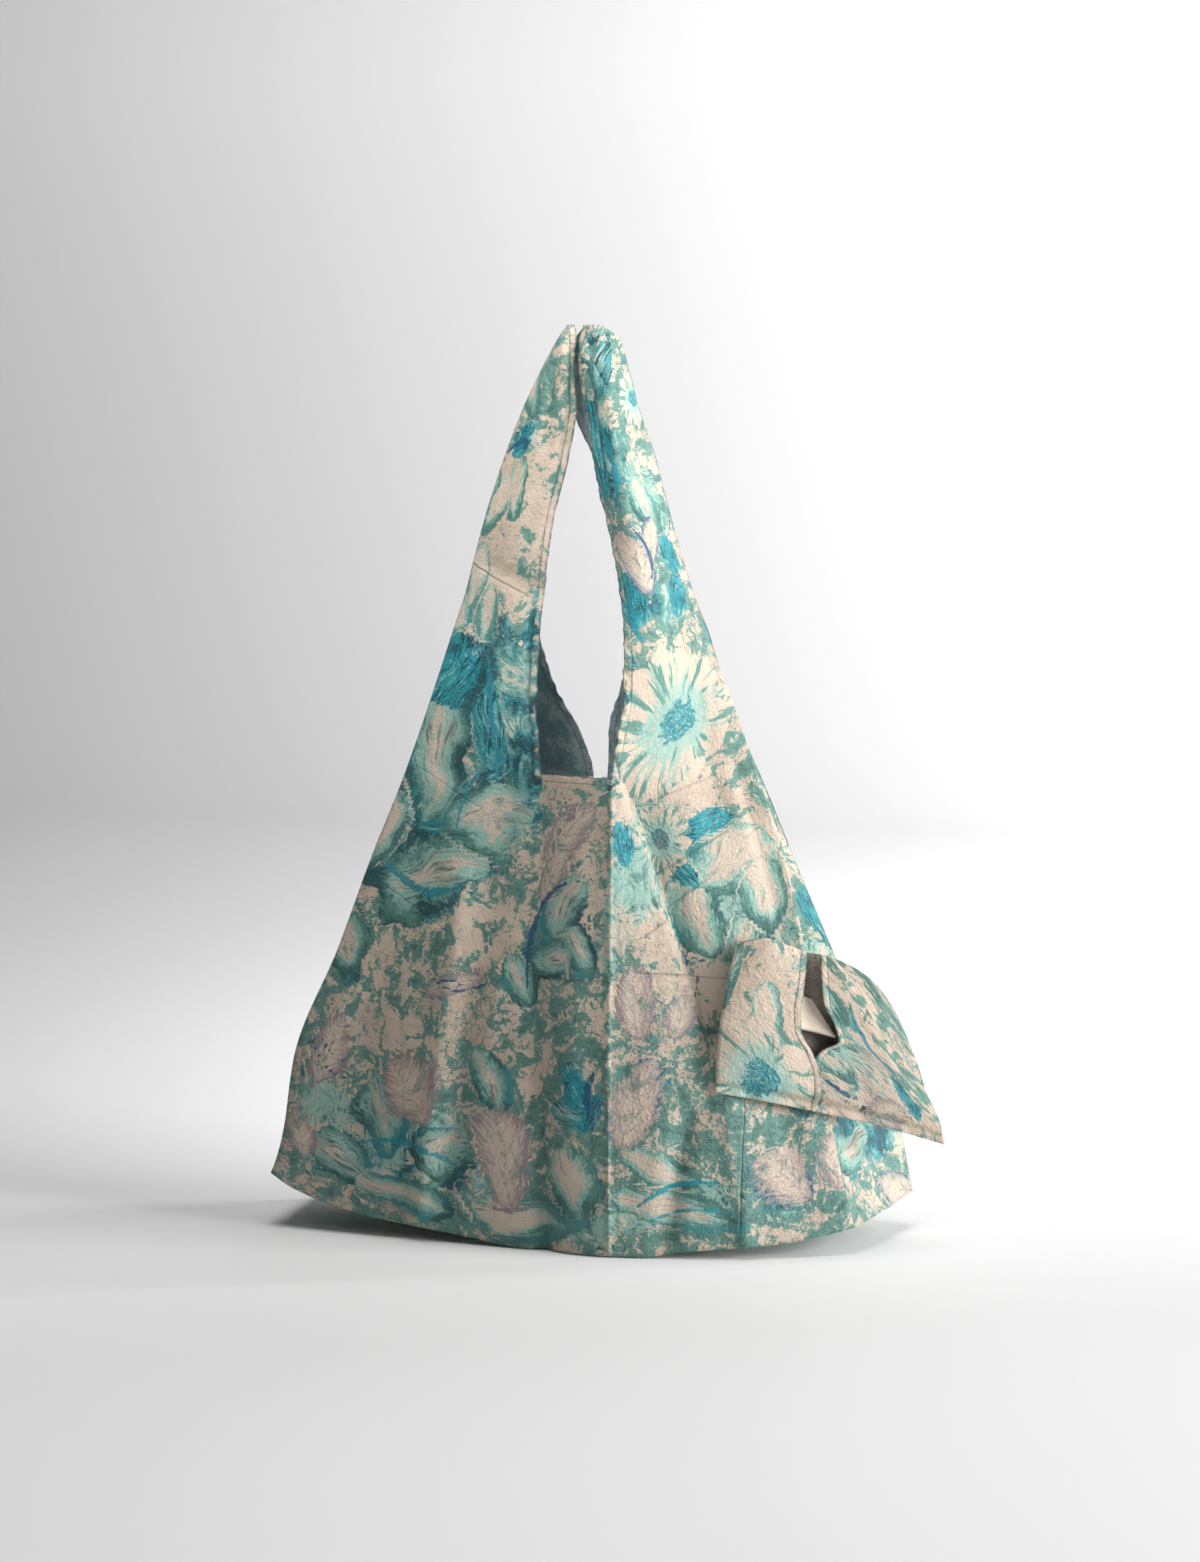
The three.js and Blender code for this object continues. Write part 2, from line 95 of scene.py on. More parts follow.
def paper_sweep():
    """The sweep's profile is a floor line, a quarter circle and a wall line, carried from left to right."""
    half_width = 5.0
    near_end = -4.0
    bend_start = 2.6
    radius = 1.2
    wall_top = 5.0
    under_bag = 0.0006
    turn = np.linspace(0, math.pi / 2, 25)
    line = np.concatenate([
        [[near_end, 0.0]],
        np.stack([bend_start + radius * np.sin(turn), radius * (1 - np.cos(turn))], -1),
        [[bend_start + radius, wall_top]],
    ])
    points = np.empty((len(line), 2, 3))
    points[..., 0] = (-half_width, half_width)
    points[..., 1] = line[:, :1]
    points[..., 2] = line[:, 1:] - under_bag
    mesh = bpy.data.meshes.new("paper_sweep")
    quads = grid_quads(*points.shape[:2])
    mesh.from_pydata(points.reshape(-1, 3).tolist(), [], quads.reshape(-1, 4).tolist())
    mesh.polygons.foreach_set("use_smooth", [True] * len(mesh.polygons))
    sweep = bpy.data.objects.new("paper_sweep", mesh)
    bpy.context.scene.collection.objects.link(sweep)
    return sweep


sweep = paper_sweep()
sweep_paper = bpy.data.materials.new("sweep_paper")
sweep_paper.use_nodes = True
paper_face = sweep_paper.node_tree.nodes["Principled BSDF"]
paper_face.inputs["Base Color"].default_value = (0.83, 0.83, 0.838, 1)
paper_face.inputs["Roughness"].default_value = 0.9
sweep.data.materials.append(sweep_paper)

# The front panel: one piece of thin printed crepe, cut like a vest. It is gathered into the two handles
# at the top, hangs in a hard fold under the neck's right end, and its neck and handle edges are hemmed.
FRONT_NECK = 328
GUSSET_TOP = 440
TOP = 636
# Each row: its level, then x and y of the left edge, left swell, left hem, right hem, right swell and
# right edge, all in millimetres
FRONT_ROWS = np.array([
    [0, -215, -48, -112, -66, -6, -82, 40, -92, 126, -79, 203, -48],
    [60, -206, -45, -108, -69, -8, -85, 40, -95, 120, -80, 191, -45],
    [120, -199, -42, -102, -68, -11, -83, 41, -95, 111, -78, 181, -42],
    [200, -167, -37, -90, -63, -15, -76, 41, -91, 102, -71, 167, -37],
    [265, -143, -34, -78, -56, -16, -68, 41, -88, 94, -64, 153, -34],
    [328, -118, -30, -67, -49, -15, -60, 40, -85, 84, -58, 131, -30],
    [380, -101, -23, -60, -42, -22, -43, 45, -68, 78, -50, 111, -23],
    [420, -90, -12, -56, -33, -22, -33, 43, -57, 68, -46, 93, -12],
    [455, -81, -1, -50, -22, -20, -25, 37, -44, 60, -42, 79, -1],
    [500, -69, -1, -41, -16, -15, -19, 25, -26, 47, -37, 65, -1],
    [545, -54, -1, -27, -15, -5, -15, 12, -15, 33, -31, 53, -1],
    [580, -40, -1, -17, -14, 0, -11, 6, -6, 25, -24, 41, -1],
    [610, -25, -1, -10, -15, -2, -8, 1, -3, 18, -18, 33, -1],
    [626, -16, -1, -9, -7, -2, -4, 0, -2, 14, -8, 28, -1],
    [636, -9, -1, -6.5, -1, -4, -1, 2, -1, 9, -1, 14.5, -1],
])
# How far the bottom edge is lifted off the floor at x
FRONT_LIFT = np.array([
    [-215, 38], [-197, 28], [-151, 15], [-103, 9], [-60, 4], [-25, 0],
    [62, 0], [90, 4], [155, 9], [181, 13], [203, 18],
])
# Folds: from (x1, z1) to (x2, z2), width, depth into the bag, and 0 for a soft one, 1 for a pressed one
# or 2 for a lap
FRONT_FOLDS = np.array([
    [56, 300, 104, 147, 15, 4, 0],
    [110, 128, 43, 331, 16, 8, 2],
    [118, 120, 132, 10, 9, -3, 0],
    [134, 66, 131, 8, 1.6, -1.5, 1],
    [205, 60, 190, 20, 2.5, -1.5, 1],
    [-38, 330, -70, 60, 14, 5, 0],
    [-15, 322, -7, 4, 9, 4, 0],
    [-15, 322, -7, 4, 2.5, 2.2, 1],
    [40, 326, 40, 2, 1.3, -1.3, 1],
    [-17, 322, -24, 385, 1.8, -1.8, 1],
    [-21, 322, -28, 385, 1.5, 2.6, 1],
    [-28, 385, -27, 440, 1.5, 2.6, 1],
    [-110, 300, -150, 70, 18, 7, 0],
    [-70, 250, -100, 20, 9, -5, 0],
    [-84, 478, -20, 452, 7, 3, 0],
    [-74, 470, -24, 446, 2.5, 1.5, 1],
    [-22, 186, 42, 190, 2.2, 1.6, 1],
    [150, 250, 120, 150, 12, 5, 0],
    [75, 440, 110, 300, 14, 4, 0],
    [-60, 430, -90, 330, 12, 5, 0],
    [150, 120, 175, 30, 12, 5, 0],
    [-150, 150, -190, 40, 9, 5, 0],
    [-46, 190, -62, 50, 8, -3, 0],
    [92, 96, 78, 12, 8, 4, 0],
    [18, 300, 12, 90, 8, -2.5, 0],
    [122, 330, 165, 200, 6, 4, 0],
    [117, 334, 146, 236, 2.0, 4.2, 1],
    [146, 236, 156, 200, 2.0, 4.2, 1],
    [-10, 613, -24, 558, 3, 2.4, 1],
    [2, 634, 22, 594, 3.5, 3.2, 1],
    [24, 624, 25, 620, 5, 3, 0],
    [22, 594, 28, 590, 3, 2.5, 1],
    [14, 590, 26, 540, 5, 2.5, 0],
])


def follow(knots, values, place):
    """Value at place: a cubic between neighbouring knots, its slopes harmonic means of the chords' slopes."""
    chord = np.diff(values) / np.diff(knots)
    before = chord[:-1]
    after = chord[1:]
    same_way = before * after > 0
    mean = 2 * before * after / np.where(same_way, before + after, 1)
    slope = np.concatenate([chord[:1], np.where(same_way, mean, 0), chord[-1:]])
    i = np.clip(np.searchsorted(knots, place) - 1, 0, len(knots) - 2)
    span = knots[i + 1] - knots[i]
    t = np.clip((place - knots[i]) / span, 0, 1)
    rise = (values[i + 1] - values[i]) * t * t * (3 - 2 * t)
    return values[i] + rise + t * (1 - t) ** 2 * span * slope[i] - t * t * (1 - t) * span * slope[i + 1]


def fade_in(value, low, high):
    """0 below low, 1 above high and a smooth step 3t^2 - 2t^3 between."""
    t = np.clip((value - low) / (high - low), 0, 1)
    return t * t * (3 - 2 * t)


def ripple(x, y, size, seed):
    """Smooth noise from -1 to 1: random heights on a square lattice of the given size, eased between them."""
    lattice = 257
    start_x = 40.37
    start_y = 40.71
    heights = np.random.default_rng(seed).uniform(-1, 1, (lattice, lattice))
    x = np.asarray(x) / size + start_x
    y = np.asarray(y) / size + start_y
    column = np.floor(x).astype(int)
    row = np.floor(y).astype(int)
    s = fade_in(x - column, 0, 1)
    t = fade_in(y - row, 0, 1)

    def between(row):
        here = heights[row % lattice, column % lattice]
        return here * (1 - s) + heights[row % lattice, (column + 1) % lattice] * s

    return between(row) * (1 - t) + between(row + 1) * t


LAP_TUCK = 14


def fold_depth(folds, x, z):
    """Sum of the folds. Round its line, each is a trough exp(-d^2), a pressed line exp(-|d|), or a lap that
    drops at once on its right, going up, and fades as exp(-d). All fade out past the ends of their lines.
    Also gives how much of the cloth a lap hides."""
    depth = np.zeros(np.broadcast(x, z).shape)
    tucked = np.zeros(depth.shape)
    for x1, z1, x2, z2, width, deep, kind in folds:
        run = np.array([x2 - x1, z2 - z1])
        share = ((x - x1) * run[0] + (z - z1) * run[1]) / (run @ run)
        along = np.clip(share, 0, 1)
        off = np.hypot(x - x1 - along * run[0], z - z1 - along * run[1]) / width
        if kind == 0:
            depth += deep * np.exp(-off * off)
        elif kind == 1:
            depth += deep * np.exp(-off)
        else:
            side = ((x - x1) * run[1] - (z - z1) * run[0]) / np.hypot(*run)
            ends = fade_in(share, -0.05, 0.12) * (1 - fade_in(share, 0.86, 1.06))
            over = ends * fade_in(side, -1.2, 1.2)
            depth += deep * over * np.exp(-np.maximum(side, 0) / width)
            tucked += LAP_TUCK * over
    return depth, tucked


LOW_ROWS = 130
ARM_ROWS = 50
HANDLE_ROWS = 110


def panel_levels(neck):
    """Levels of a panel's rows: closer together towards the top, where the cloth is gathered."""
    return np.concatenate([
        np.linspace(0, neck, LOW_ROWS, endpoint=False),
        np.linspace(neck, GUSSET_TOP, ARM_ROWS, endpoint=False),
        np.linspace(GUSSET_TOP, TOP, HANDLE_ROWS + 1),
    ])


def length_along(points):
    """Length along each row of points, from its first one."""
    run = np.linalg.norm(np.diff(points, axis=1), axis=-1)
    return np.concatenate([np.zeros((len(points), 1)), np.cumsum(run, 1)], 1)


def ease_from_seams(columns, cells):
    """0 at a panel's two side edges, 1 from so many cells in."""
    column = np.arange(columns)
    return np.clip(np.minimum(column, columns - 1 - column) / cells, 0, 1)


# Columns run over the left side, the strip under the neck and the right side. The hard fold is the column
# where the strip ends, and it lies at RIDGE_U on the flat cloth
SIDE_CELLS = 66
STRIP_CELLS = 18
RIDGE = SIDE_CELLS + STRIP_CELLS
RIDGE_U = 40
STRIP_BELLY = 2.5
STRIP_CROWD = 0.12
HEM_PINCH = 1.3
LIFT_REACH = 130
FOOT = 0.3


def panel_surface(rows, neck, lifts, folds, inward):
    """Points and flat places of a panel. Across a side it is the parabola through edge, swell and hem,
    a(1-s)(1-2s) + 4b s(1-s) + c s(2s-1); the strip between the hems is a shallow parabola too."""
    level = panel_levels(neck)[:, None]
    line = [follow(rows[:, 0], rows[:, k], level) for k in range(1, 13)]
    s = 1 - (1 - np.linspace(0, 1, SIDE_CELLS + 1)) ** HEM_PINCH

    def side(edge, swell, hem):
        return edge * (1 - s) * (1 - 2 * s) + 4 * swell * s * (1 - s) + hem * s * (2 * s - 1)

    across = np.linspace(0, 1, STRIP_CELLS + 1)[1:]
    across = across - STRIP_CROWD * np.sin(2 * math.pi * across)
    plan = []
    for axis in (0, 1):
        left = side(line[axis], line[2 + axis], line[4 + axis])
        right = side(line[10 + axis], line[8 + axis], line[6 + axis])[:, ::-1]
        strip = line[4 + axis] * (1 - across) + line[6 + axis] * across
        if axis == 1:
            belly = 4 * across * (1 - across) * (0.35 + 0.65 * fade_in(neck - level, 0, 30))
            strip = strip - inward * STRIP_BELLY * belly
        plan.append(np.concatenate([left, strip, right[:, 1:]], 1))
    x, y = plan
    u = length_along(np.stack(plan, -1))
    u = u - u[:, RIDGE:RIDGE + 1] + RIDGE_U
    at_neck = int(np.argmin(np.abs(level[:, 0] - neck)))
    hem_shift = u[at_neck, SIDE_CELLS] - u[:, SIDE_CELLS]
    u[:, :SIDE_CELLS + 1] += np.where(level[:, 0] > neck, hem_shift, 0)[:, None]
    fade = np.maximum(0, 1 - level / LIFT_REACH)
    z = level + follow(lifts[:, 0], lifts[:, 1], x) * fade ** 2 + FOOT * fade
    depth, tucked = fold_depth(folds, x, z)
    y = y + inward * depth * ease_from_seams(x.shape[1], 16)
    points = np.stack([x, y, z], -1)
    flat = np.stack([u + tucked, np.broadcast_to(level, u.shape)], -1)
    return points, flat


def cloth_normals(points):
    """Unit normals of a grid, across the columns times up the rows."""
    normal = np.cross(np.gradient(points, axis=1), np.gradient(points, axis=0))
    length = np.linalg.norm(normal, axis=-1, keepdims=True)
    return normal / np.maximum(length, 1e-9)


# The fine crinkles: the size and share of each kind, how much longer they are up the cloth, and the sway of
# their lines
CRINKLES = ((34, 0.9), (15, 0.5), (7.5, 0.28))
CRINKLE_STRETCH = 0.55
CRINKLE_SWAY = 6
SWAY_SIZE = 40


def crumple(flat, seed):
    """Height of the fine crinkles from -1 to 1: ridged noise of three sizes, (0.45 - |n|) 1.3 of each."""
    u = flat[..., 0]
    v = flat[..., 1]
    bend = CRINKLE_SWAY * ripple(u, v, SWAY_SIZE, seed)
    total = 0
    for size, share in CRINKLES:
        fold = ripple(u + bend, CRINKLE_STRETCH * v - bend, size, seed + int(size))
        total = total + share * (0.45 - np.abs(fold)) * 1.3
    return total


def open_neck(rows, neck):
    """Cells of a panel that are cloth: all below the neck, and above it all but the strip."""
    kept = np.ones((len(rows) - 1, SIDE_CELLS + RIDGE), bool)
    kept[rows[:-1] >= neck - 0.01, SIDE_CELLS:RIDGE] = False
    return kept


FAR_FROM_HEM = 60.0


def hem_distance(rows, points, neck):
    """Distance in millimetres of each point from the hemmed edges: the handles' inner ones and the neck."""
    left = np.linalg.norm(points[:, :SIDE_CELLS + 1] - points[:, SIDE_CELLS:SIDE_CELLS + 1], axis=-1)
    right = np.linalg.norm(points[:, RIDGE:] - points[:, RIDGE:RIDGE + 1], axis=-1)
    away = np.full(points.shape[:2], FAR_FROM_HEM)
    height = rows[:, None]
    below = np.maximum(neck - height, 0)
    away[:, :SIDE_CELLS + 1] = np.hypot(left, below)
    away[:, RIDGE:] = np.hypot(right, below)
    away[:, SIDE_CELLS:RIDGE + 1] = np.where(height > neck, FAR_FROM_HEM, np.minimum(below, FAR_FROM_HEM))
    return away


# Heights in millimetres of what is worked into a panel, and the levels or distances over which each fades
CRINKLE = 1.05
FLAT_FOOT = (0, 25)
GATHER = 3.2
GATHER_SIZE = 7
GATHER_ZONE = (470, 610)
TOP_ZONE = (618, 634)
HEM_LIFT = 0.4
HEM_ZONE = (3.6, 5.4)
HEM_WAVE = 1.9
WAVE_SIZE = 4.2
FRILL = 2.0
FRILL_SIZE = 3.4
FRILL_ZONE = (0, 6)


def worked_panel(points, flat, rows, neck, seed):
    """The smooth panel with crinkles, gathers near the top and a wavy hem added along its normals."""
    normal = cloth_normals(points)
    height = rows[:, None]
    u = flat[..., 0]
    gather = fade_in(height, *GATHER_ZONE)
    top = 1 - fade_in(height, *TOP_ZONE)
    lift = CRINKLE * crumple(flat, seed) * (0.35 + 0.65 * fade_in(height, *FLAT_FOOT))
    pleats = GATHER * ripple(u, height * 0.12, GATHER_SIZE, seed + 50)
    lift = lift * (1 - 0.6 * gather) + pleats * gather * top
    away = hem_distance(rows, points, neck)
    band = 1 - fade_in(away, *HEM_ZONE)
    along = height + u
    loose = 0.35 + 0.65 * (1 - fade_in(height, neck + 60, neck + 130))
    wave = ripple(along, 0, WAVE_SIZE, seed + 7) * loose * top
    lift = lift + band * (HEM_LIFT + HEM_WAVE * wave)
    points = points + normal * (lift * ease_from_seams(points.shape[1], 10))[..., None]
    edge = 1 - fade_in(away, *FRILL_ZONE)
    frill = FRILL * edge * loose * top * ripple(along, 0, FRILL_SIZE, seed + 9)
    above = frill * (height > neck)
    points[:, :SIDE_CELLS + 1, 0] += above[:, :SIDE_CELLS + 1]
    points[:, RIDGE:, 0] -= above[:, RIDGE:]
    neck_row = int(np.argmin(np.abs(rows - neck)))
    points[:neck_row + 1, SIDE_CELLS + 1:RIDGE, 2] += frill[:neck_row + 1, SIDE_CELLS + 1:RIDGE]
    return points, away


def make_panel(rows, neck, lifts, folds, inward, seed):
    """A panel's points, flat places, distance from the hems and kept cells."""
    points, flat = panel_surface(rows, neck, lifts, folds, inward)
    levels = panel_levels(neck)
    points, away = worked_panel(points, flat, levels, neck, seed)
    return points, flat, away, open_neck(levels, neck)


front, front_flat, front_hem, front_kept = make_panel(FRONT_ROWS, FRONT_NECK, FRONT_LIFT, FRONT_FOLDS, 1, 11)


def motif_frame(flat, u, v, half_width, half_length, turn):
    """Coordinates across and along a motif that is turned by an angle in degrees, 1 at its half sizes."""
    angle = math.radians(turn)
    du = flat[..., 0] - u
    dv = flat[..., 1] - v
    across = (du * math.cos(angle) + dv * math.sin(angle)) / half_width
    along = (dv * math.cos(angle) - du * math.sin(angle)) / half_length
    return across, along


MOTIF_REACH = 1.3


def place_motifs(flat, motifs):
    """Local coordinates of the nearest motif: (across, along, nearness), nearness 1 at its middle and 0 at
    its rim. A motif is its middle u, v, half width, half length, turn in degrees and tone."""
    best = np.zeros(flat.shape[:2])
    local = np.zeros(flat.shape[:2] + (3,))
    tone = np.zeros(flat.shape[:2])
    for *oval, shade in motifs:
        across, along = motif_frame(flat, *oval)
        near = 1 - np.hypot(across, along) / MOTIF_REACH
        closer = near > best
        best = np.where(closer, near, best)
        local = np.where(closer[..., None], np.stack([across, along, near], -1), local)
        tone = np.where(closer, shade, tone)
    return local, tone


STROKE_BITS = 12


def brush_strokes(flat, strokes):
    """Nearness to the closest stroke, 1 on its line and 0 two widths off. A stroke bends from (u1, v1) past
    (u2, v2) to (u3, v3) as a parabola in short straight bits, widest in its middle, and has a tone."""
    best = np.zeros(flat.shape[:2])
    tone = np.zeros(flat.shape[:2])
    for u1, v1, u2, v2, u3, v3, width, shade in strokes:
        t = np.linspace(0, 1, STROKE_BITS + 1)[:, None]
        path = (1 - t) ** 2 * [u1, v1] + 2 * t * (1 - t) * np.array([u2, v2]) + t ** 2 * [u3, v3]
        for start, end, share in zip(path[:-1], path[1:], t[1:, 0]):
            run = end - start
            gap = flat - start
            along = np.clip((gap @ run) / (run @ run), 0, 1)
            off = np.linalg.norm(gap - along[..., None] * run, axis=-1)
            thin = width * (0.55 + 0.9 * math.sin(math.pi * share))
            near = np.maximum(0, 1 - off / (2 * thin))
            closer = near > best
            best = np.where(closer, near, best)
            tone = np.where(closer, shade, tone)
    return best, tone


def wash(flat, patches):
    """Sum of soft patches, each exp(-d^2) of an ellipse with a middle, half sizes, a turn and a strength."""
    total = np.zeros(flat.shape[:2])
    for *oval, strength in patches:
        across, along = motif_frame(flat, *oval)
        total += strength * np.exp(-across ** 2 - along ** 2)
    return total


def scatter_print(seed, low, high):
    """A seeded scatter of flowers, petals, leaves, strokes and washes over the rectangle from low to high, so
    many of each on a square of 100 millimetres."""
    draw = np.random.default_rng(seed)
    squares = (high[0] - low[0]) * (high[1] - low[1]) / 100 ** 2

    def spots(each, *ranges):
        count = max(2, round(each * squares))
        where = draw.uniform(low, high, (count, 2))
        return np.concatenate([where, np.stack([draw.uniform(a, b, count) for a, b in ranges], 1)], 1)

    made = {
        "flowers": spots(0.4, (20, 42), (20, 42), (0, 360), (0, 1)),
        "petals": spots(1.4, (12, 24), (20, 40), (0, 360), (0, 1.1)),
        "leaves": spots(0.9, (12, 24), (20, 38), (0, 360), (0, 1)),
        "sage": spots(0.6, (25, 60), (25, 60), (0, 180), (-0.3, 0.4)),
        "mint": spots(0.5, (20, 45), (25, 60), (0, 180), (0.4, 1.0)),
        "teal": spots(0.4, (12, 26), (18, 50), (0, 180), (0.5, 1.1)),
    }
    start = spots(1.3, (0.9, 2.4), (0, 1))
    middle = start[:, :2] + draw.uniform(-30, 30, (len(start), 2))
    end = middle + draw.uniform(-30, 30, (len(start), 2))
    made["strokes"] = np.concatenate([start[:, :2], middle, end, start[:, 2:]], 1)
    return made


# What is painted on the front, in millimetres on the flat cloth: u across, v up from the bottom edge.
# Flowers, petals, leaves and washes have a middle, half width, half length, turn and tone or strength;
# strokes have three points, a width and a tone
front_print = {
    "flowers": [
        [80, 364, 50, 58, 0, 0.3], [87, 285, 27, 27, 10, 0.5], [92, 585, 18, 24, 0, 0.3],
    ],
    "petals": [
        [-100, 440, 15, 24, 60, 0], [-78, 462, 13, 24, -12, 0], [-104, 466, 13, 22, 28, 0.03],
        [-62, 440, 10, 24, -6, 0], [-70, 508, 13, 22, -30, 0], [-52, 520, 9, 20, 8, 0.05],
        [-80, 528, 10, 18, 20, 0], [-60, 592, 12, 24, 24, 0.2], [-101, 339, 27, 52, -10, 0.45],
        [-63, 298, 26, 34, -70, 0.4], [-110, 252, 32, 46, -75, 0.55], [-143, 287, 20, 34, -20, 0.2],
        [-88, 392, 26, 34, -35, 0.85], [-56, 352, 12, 34, -6, 0.75], [-134, 84, 22, 28, 25, 0.5],
        [-84, 60, 24, 23, -35, 0.5], [-116, 26, 13, 46, 78, 0.35], [14, 48, 19, 26, 15, 0.2],
        [-168, 48, 18, 32, 60, 0.6], [134, 268, 22, 33, -55, 0.15], [158, 248, 18, 31, 20, 0.15],
        [114, 230, 20, 27, 5, 0.25], [50, 447, 11, 18, 8, 1], [88, 447, 11, 15, -20, 1],
        [92, 477, 10, 15, 30, 1], [46, 545, 10, 36, 4, 0.8], [-58, 556, 9, 15, -20, 1],
        [46, 284, 7, 16, 12, 1], [80, 512, 12, 22, 12, 0.3], [16, 116, 8, 17, 30, 0.95],
        [27, 102, 7, 15, -20, 1.08], [10, 98, 8, 13, 70, 0.7], [118, 294, 9, 24, -76, 0.95],
        [85, 316, 6, 17, 0, 1], [106, 262, 8, 17, 50, 0.8], [-170, 205, 20, 30, 40, 0.3],
        [150, 205, 16, 26, 10, 0.4], [60, 605, 10, 24, 0, 0.7], [172, 120, 16, 26, 15, 0.3],
        [90, 30, 15, 42, 76, 0.15], [-24, 22, 18, 40, 82, 0.05], [75, 62, 12, 34, 68, 0.15],
        [-50, 120, 14, 26, 30, 0.3], [2, 236, 18, 24, -30, 0.45], [18, 212, 16, 22, 40, 0.5],
        [-8, 204, 17, 22, -70, 0.55], [-30, 186, 15, 20, 20, 0.5],
    ],
    "leaves": [
        [-110, 106, 25, 25, 35, 0.1], [-39, 68, 22, 38, 12, 0.1], [-177, 130, 16, 28, -25, 0.3],
        [58, 106, 21, 35, -15, 0.9], [159, 48, 20, 28, 50, 0.9], [57, 177, 14, 25, 10, 0.1],
        [86, 166, 10, 17, -10, 0.1], [-80, 180, 8, 22, -72, 0.4], [8, 292, 12, 30, -40, 0.2],
        [-6, 262, 9, 24, -30, 0.2], [58, 472, 12, 22, 8, 0.9], [76, 490, 8, 16, -22, 0.9],
        [200, 60, 14, 22, 0, 0.2], [-198, 60, 12, 22, 10, 0.3], [-88, 540, 10, 20, 10, 0.3],
    ],
    "strokes": [
        [16, 258, -30, 250, -24, 180, 1.7, 0.1], [-100, 190, -80, 168, -52, 184, 1.5, 0],
        [-92, 182, -74, 190, -66, 172, 1.2, 0], [106, 214, 98, 190, 108, 162, 1.1, 0.2],
        [110, 206, 116, 186, 104, 170, 1, 0.2], [-150, 60, -110, 78, -66, 46, 2.4, 0.44],
        [-66, 330, -88, 300, -80, 270, 1.2, 0.4], [-125, 330, -132, 360, -110, 388, 2.6, 0.4],
        [-58, 412, -50, 370, -54, 320, 2, 0.4], [-140, 262, -110, 232, -74, 250, 3, 0.4],
        [52, 420, 40, 440, 52, 460, 2.2, 0.4], [66, 462, 76, 480, 62, 498, 1.4, 0.1],
        [60, 566, 70, 540, 58, 512, 2.2, 0.4], [-70, 548, -60, 562, -48, 552, 1.8, 0.2],
        [6, 300, -14, 276, -8, 250, 1.4, 0.9], [14, 312, 2, 286, 12, 262, 1.3, 0.9],
        [-190, 150, -176, 118, -160, 120, 1.2, 0], [-192, 136, -178, 108, -162, 108, 1.1, 0],
        [30, 130, 18, 108, 30, 86, 2.6, 0.1], [60, 36, 90, 60, 130, 46, 1.6, 0.5],
        [56, 20, 96, 40, 132, 24, 1.4, 0.5], [-60, 30, -34, 20, -10, 34, 1.6, 0.9],
    ],
    "sage": [
        [-150, 190, 50, 50, 0, -0.1], [15, 150, 34, 90, 0, 0.1], [-60, 210, 34, 34, 0, -0.15],
        [8, 327, 26, 5, 0, -2], [-78, 490, 50, 60, 0, -0.6], [85, 350, 60, 60, 0, -0.3],
        [130, 80, 70, 60, 0, 0.12], [118, 250, 70, 70, 0, -0.8], [60, 40, 60, 26, 0, 0.1],
        [20, 80, 30, 40, 0, 0.1], [-40, 20, 60, 24, 0, 0.2], [60, 480, 50, 50, 0, 0.1],
        [-130, 140, 30, 20, 0, -0.2], [-80, 160, 24, 26, 0, -0.2], [-20, 130, 20, 40, 0, -0.1],
        [150, 320, 30, 60, 0, 0.2],
    ],
    "mint": [
        [118, 256, 50, 44, 0, 0.8], [84, 36, 56, 18, 10, 0.7], [155, 215, 30, 50, 0, 0.5],
        [-110, 60, 62, 42, 0, 0.9], [60, 400, 26, 26, 0, 0.3], [84, 515, 26, 50, 0, 0.55],
        [-60, 600, 24, 40, 0, 0.6], [-100, 300, 50, 60, 0, 0.7], [-90, 470, 30, 30, 0, 0.35],
        [20, 16, 30, 12, 0, 0.5], [50, 250, 14, 60, -14, 0.9], [-185, 80, 24, 44, 0, 0.6],
    ],
    "teal": [
        [-86, 388, 34, 34, 0, 1.1], [-100, 305, 50, 62, 0, 0.75], [-112, 232, 34, 13, 8, 0.8],
        [54, 548, 19, 38, 0, 1.25], [-96, 42, 50, 13, -6, 0.8], [20, 106, 18, 18, 0, 0.6],
        [5, 205, 24, 26, 0, 0.6], [-42, 385, 20, 50, 0, 0.9], [-40, 310, 16, 40, 0, 0.6],
        [160, 28, 24, 12, 10, 0.8], [-150, 330, 14, 40, -16, 0.6], [70, 445, 28, 16, 0, 0.8],
        [-52, 330, 12, 70, 0, 0.7], [-180, 30, 30, 16, 20, 0.6], [-58, 556, 16, 16, 0, 0.8],
        [54, 620, 12, 16, 0, 0.8], [-25, 380, 5, 66, 0, 1.5], [44, 372, 5, 42, 0, 1.4],
        [33, 324, 9, 4, 0, 1.4],
    ],
}


def print_fields(flat, away, motifs):
    """What the cloth's shader reads at each point: motif coordinates, tones, strokes, washes and hem."""
    flower, flower_tone = place_motifs(flat, motifs["flowers"])
    petal, petal_tone = place_motifs(flat, motifs["petals"])
    leaf, leaf_tone = place_motifs(flat, motifs["leaves"])
    stroke, stroke_tone = brush_strokes(flat, motifs["strokes"])
    return {
        "flower": flower,
        "petal": petal,
        "leaf": leaf,
        "tone": np.stack([flower_tone, leaf_tone, stroke_tone], -1),
        "wash": np.stack([wash(flat, motifs[name]) for name in ("sage", "mint", "teal")], -1),
        "mark": np.stack([stroke, np.minimum(away, FAR_FROM_HEM) / FAR_FROM_HEM, petal_tone], -1),
    }


MM = 0.001
CLOTH = 0.55


